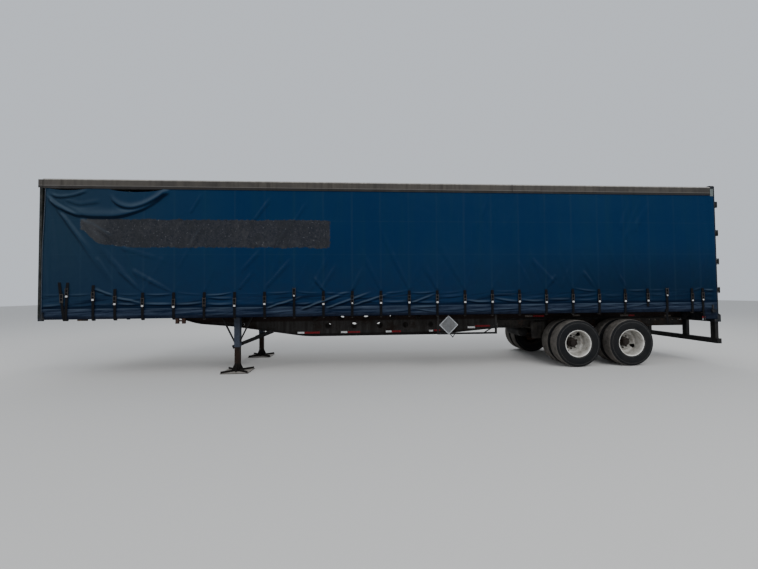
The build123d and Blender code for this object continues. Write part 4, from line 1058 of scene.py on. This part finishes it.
def hub_piece(x, side, end):
    """Hub cap, flange and ribbed drum."""
    shape = Shape()
    for profile in (DRUM + NOSE, [(0.7365, 0.0455), (0.7365, 0.1)]):
        shape.lathe([(side * a, r) for a, r in profile], (x, 0, TYRE_R), 56, closed=False)
    for nx, nz in around(x, 6, 0.094):
        shape.rod((nx, side * 1.066, nz), (nx, side * 1.075, nz), 0.007, 0, 6)
    node = "hub_" + end
    shape.make(node + "_cast", ["hub"], "hub", [node], 32, body="wheel_" + end)


# Small pieces

# Marking tape on the beams: start, end, colour (0 red, 1 white, 2 white dimmed as painted shade), height of
# the middle
TAPE_STRIPS = (
    (5.017, 5.17, 1, 0.77), (5.173, 5.53, 0, 0.77), (6.025, 6.17, 1, 0.77), (6.185, 6.47, 0, 0.77),
    (7.08, 7.215, 1, 0.77), (7.225, 7.44, 0, 0.77), (8.115, 8.215, 1, 0.772), (8.235, 8.385, 0, 0.78),
    (9.06, 9.24, 1, 0.838), (9.245, 9.61, 0, 0.866), (10.49, 10.68, 2, 1.087), (10.7, 10.97, 0, 1.087),
    (11.7, 11.89, 2, 1.089), (12.93, 13.14, 2, 1.073), (13.15, 13.3, 0, 1.073), (14.09, 14.27, 2, 1.052),
)
# Pale buttons along the slider rails
BUTTONS = (13.685, 13.839, 14.291, 14.444)
# Plates on each side: name, finish, slot, bevel and two corners (station, distance from the middle, height)
PLATES = (
    ("roof_rail_caps", "cap", "rail", 0.0012, (14.52, 1.2962, 3.84), (14.596, 1.3008, 4.01)),
    ("roof_corner_caps", "roof_rail", "rail", 0.0012, (0.002, 1.2962, 3.87), (0.09, 1.3, 4.04)),
    ("rail_brackets", "spring", "rail", 0.002, (0.77, 1.234, 1.168), (0.95, 1.279, 1.2252)),
    ("slider_end_plates", "chassis", "chassis", 0.0015, (14.482, 0.5, 0.82), (14.61, 0.508, 0.958)),
)


def tapes():
    """Red and white marking tape on the webs of the beams, and a tag on the last strap's end."""
    tape, tag = Shape(), Shape()
    web = 0.504
    for x0, x1, mark, z in TAPE_STRIPS:
        for side in (-1, 1):
            tape.box((at(x0), side * web, z - 0.021), (at(x1), side * (web + 0.0012), z + 0.021), mark)
    # The buttons take the dimmed white of painted shade
    for x in BUTTONS:
        for side in (-1, 1):
            tape.rod((at(x), side * 0.508, 0.961), (at(x), side * 0.514, 0.961), 0.013, 2, 12)
    tape.make("marking_tape", ["tape_red", "tape_white", "tape_faded"], "lamp", (), 0)
    for side in (-1, 1):
        for mark, low in enumerate((1.05, 1.006)):
            corner = (at(14.236), side * (STRAP_FACE + 0.004), low)
            tag.box(corner, (at(14.302), side * (STRAP_FACE + 0.0065), low + 0.042), mark)
    tag.make("strap_tags", ["tape_red", "border"], "lamp", (), 0)


def trims():
    """Piping on the curtain's front edge, caps on the roof rail's ends, brackets and end plates below."""
    piping = Shape()
    heights = spaced(1.205, 3.85, 24)
    for side in (-1, 1):
        for z0, z1 in zip(heights, heights[1:]):
            x0, x1 = (at(0.096) + front_lean(0.096, z) for z in (z0, z1))
            piping.rod((x0, side * 1.291, z0), (x1, side * 1.291, z1 + 0.001), 0.0065, 0, 8)
    piping.make("curtain_piping", ["piping"], "curtain", (), 40)
    for name, finish, slot, bevel, (x0, y0, z0), (x1, y1, z1) in PLATES:
        plates = Shape()
        for side in (-1, 1):
            plates.box((at(x0), side * y0, z0), (at(x1), side * y1, z1))
        plates.make(name, [finish], slot, (), 35, bevel)


def board():
    """The diamond board with a raised border and rivets, blank."""
    low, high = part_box("placard_board")
    cx, cz, reach = (low.x + high.x) / 2, (low.z + high.z) / 2, (high.x - low.x) / 2
    inner, rivets = reach - 0.024, reach - 0.055
    shape = Shape()
    corners = [(-1, 0), (0, -1), (1, 0), (0, 1)]
    front = low.y + 0.0005
    for y, r in ((high.y, reach), (front, reach), (front, inner), (front + 0.002, inner - 0.003)):
        shape.points += [(cx + dx * r, y, cz + dz * r) for dx, dz in corners]
    for k, mark in ((0, 1), (1, 1), (2, 0)):
        for i in range(4):
            j = (i + 1) % 4
            shape.faces.append((k * 4 + i, k * 4 + j, k * 4 + 4 + j, k * 4 + 4 + i))
            shape.marks.append(mark)
    shape.faces += [(0, 1, 2, 3), (12, 13, 14, 15)]
    shape.marks += [0, 0]
    for dx, dz in corners:
        x, z = cx + dx * rivets, cz + dz * rivets
        shape.rod((x, low.y + 0.0025, z), (x, low.y, z), 0.007, 1, 10)
    shape.make("blank_board", ["board", "border"], "board", ["placard_board"], 30)


def studio():
    """A plain pale floor, an even sky and three soft lights."""
    mesh = bpy.data.meshes.new("floor")
    corners = [(-60, -60, 0), (60, -60, 0), (60, 60, 0), (-60, 60, 0)]
    mesh.from_pydata(corners, [], [(0, 1, 2, 3)])
    mesh.materials.append(Finish("floor", (0.6, 0.59, 0.57), 0.9).data)
    placed("floor", mesh)
    world = bpy.data.worlds.new("studio")
    world.use_nodes = True
    background = world.node_tree.nodes["Background"]
    background.inputs["Color"].default_value = (0.8, 0.85, 0.92, 1)
    background.inputs["Strength"].default_value = 0.8
    bpy.context.scene.world = world
    light("key", (6.0, -14.0, 13.0), (0, 0, 1.5), 16.0, 1900)
    light("front", (-16.0, -9.0, 9.0), (-3, 0, 1.5), 12.0, 700)
    light("back", (3.0, 15.0, 12.0), (0, 0, 1.0), 14.0, 1300)


def light(name, place, target, size, power):
    data = bpy.data.lights.new(name, "AREA")
    data.shape = "DISK"
    data.size = size
    data.energy = power
    lamp = placed(name, data)
    lamp.location = place
    lamp.rotation_euler = (Vector(target) - Vector(place)).to_track_quat("-Z", "Y").to_euler()


photo_camera()
studio()
dress_nodes()
curtain_piece("curtain_left", -1, "curtain")
curtain_piece("curtain_right", 1, "curtain_plain")
straps()
for axle_name, station in AXLES.items():
    for word, wheel_side in (("left", -1), ("right", 1)):
        wheel_end = axle_name + "_" + word
        tyre_pair(at(station), wheel_side, wheel_end)
        wheel_pair(at(station), wheel_side, wheel_end, HOLE_ANGLE[axle_name])
        hub_piece(at(station), wheel_side, wheel_end)
tapes()
trims()
board()
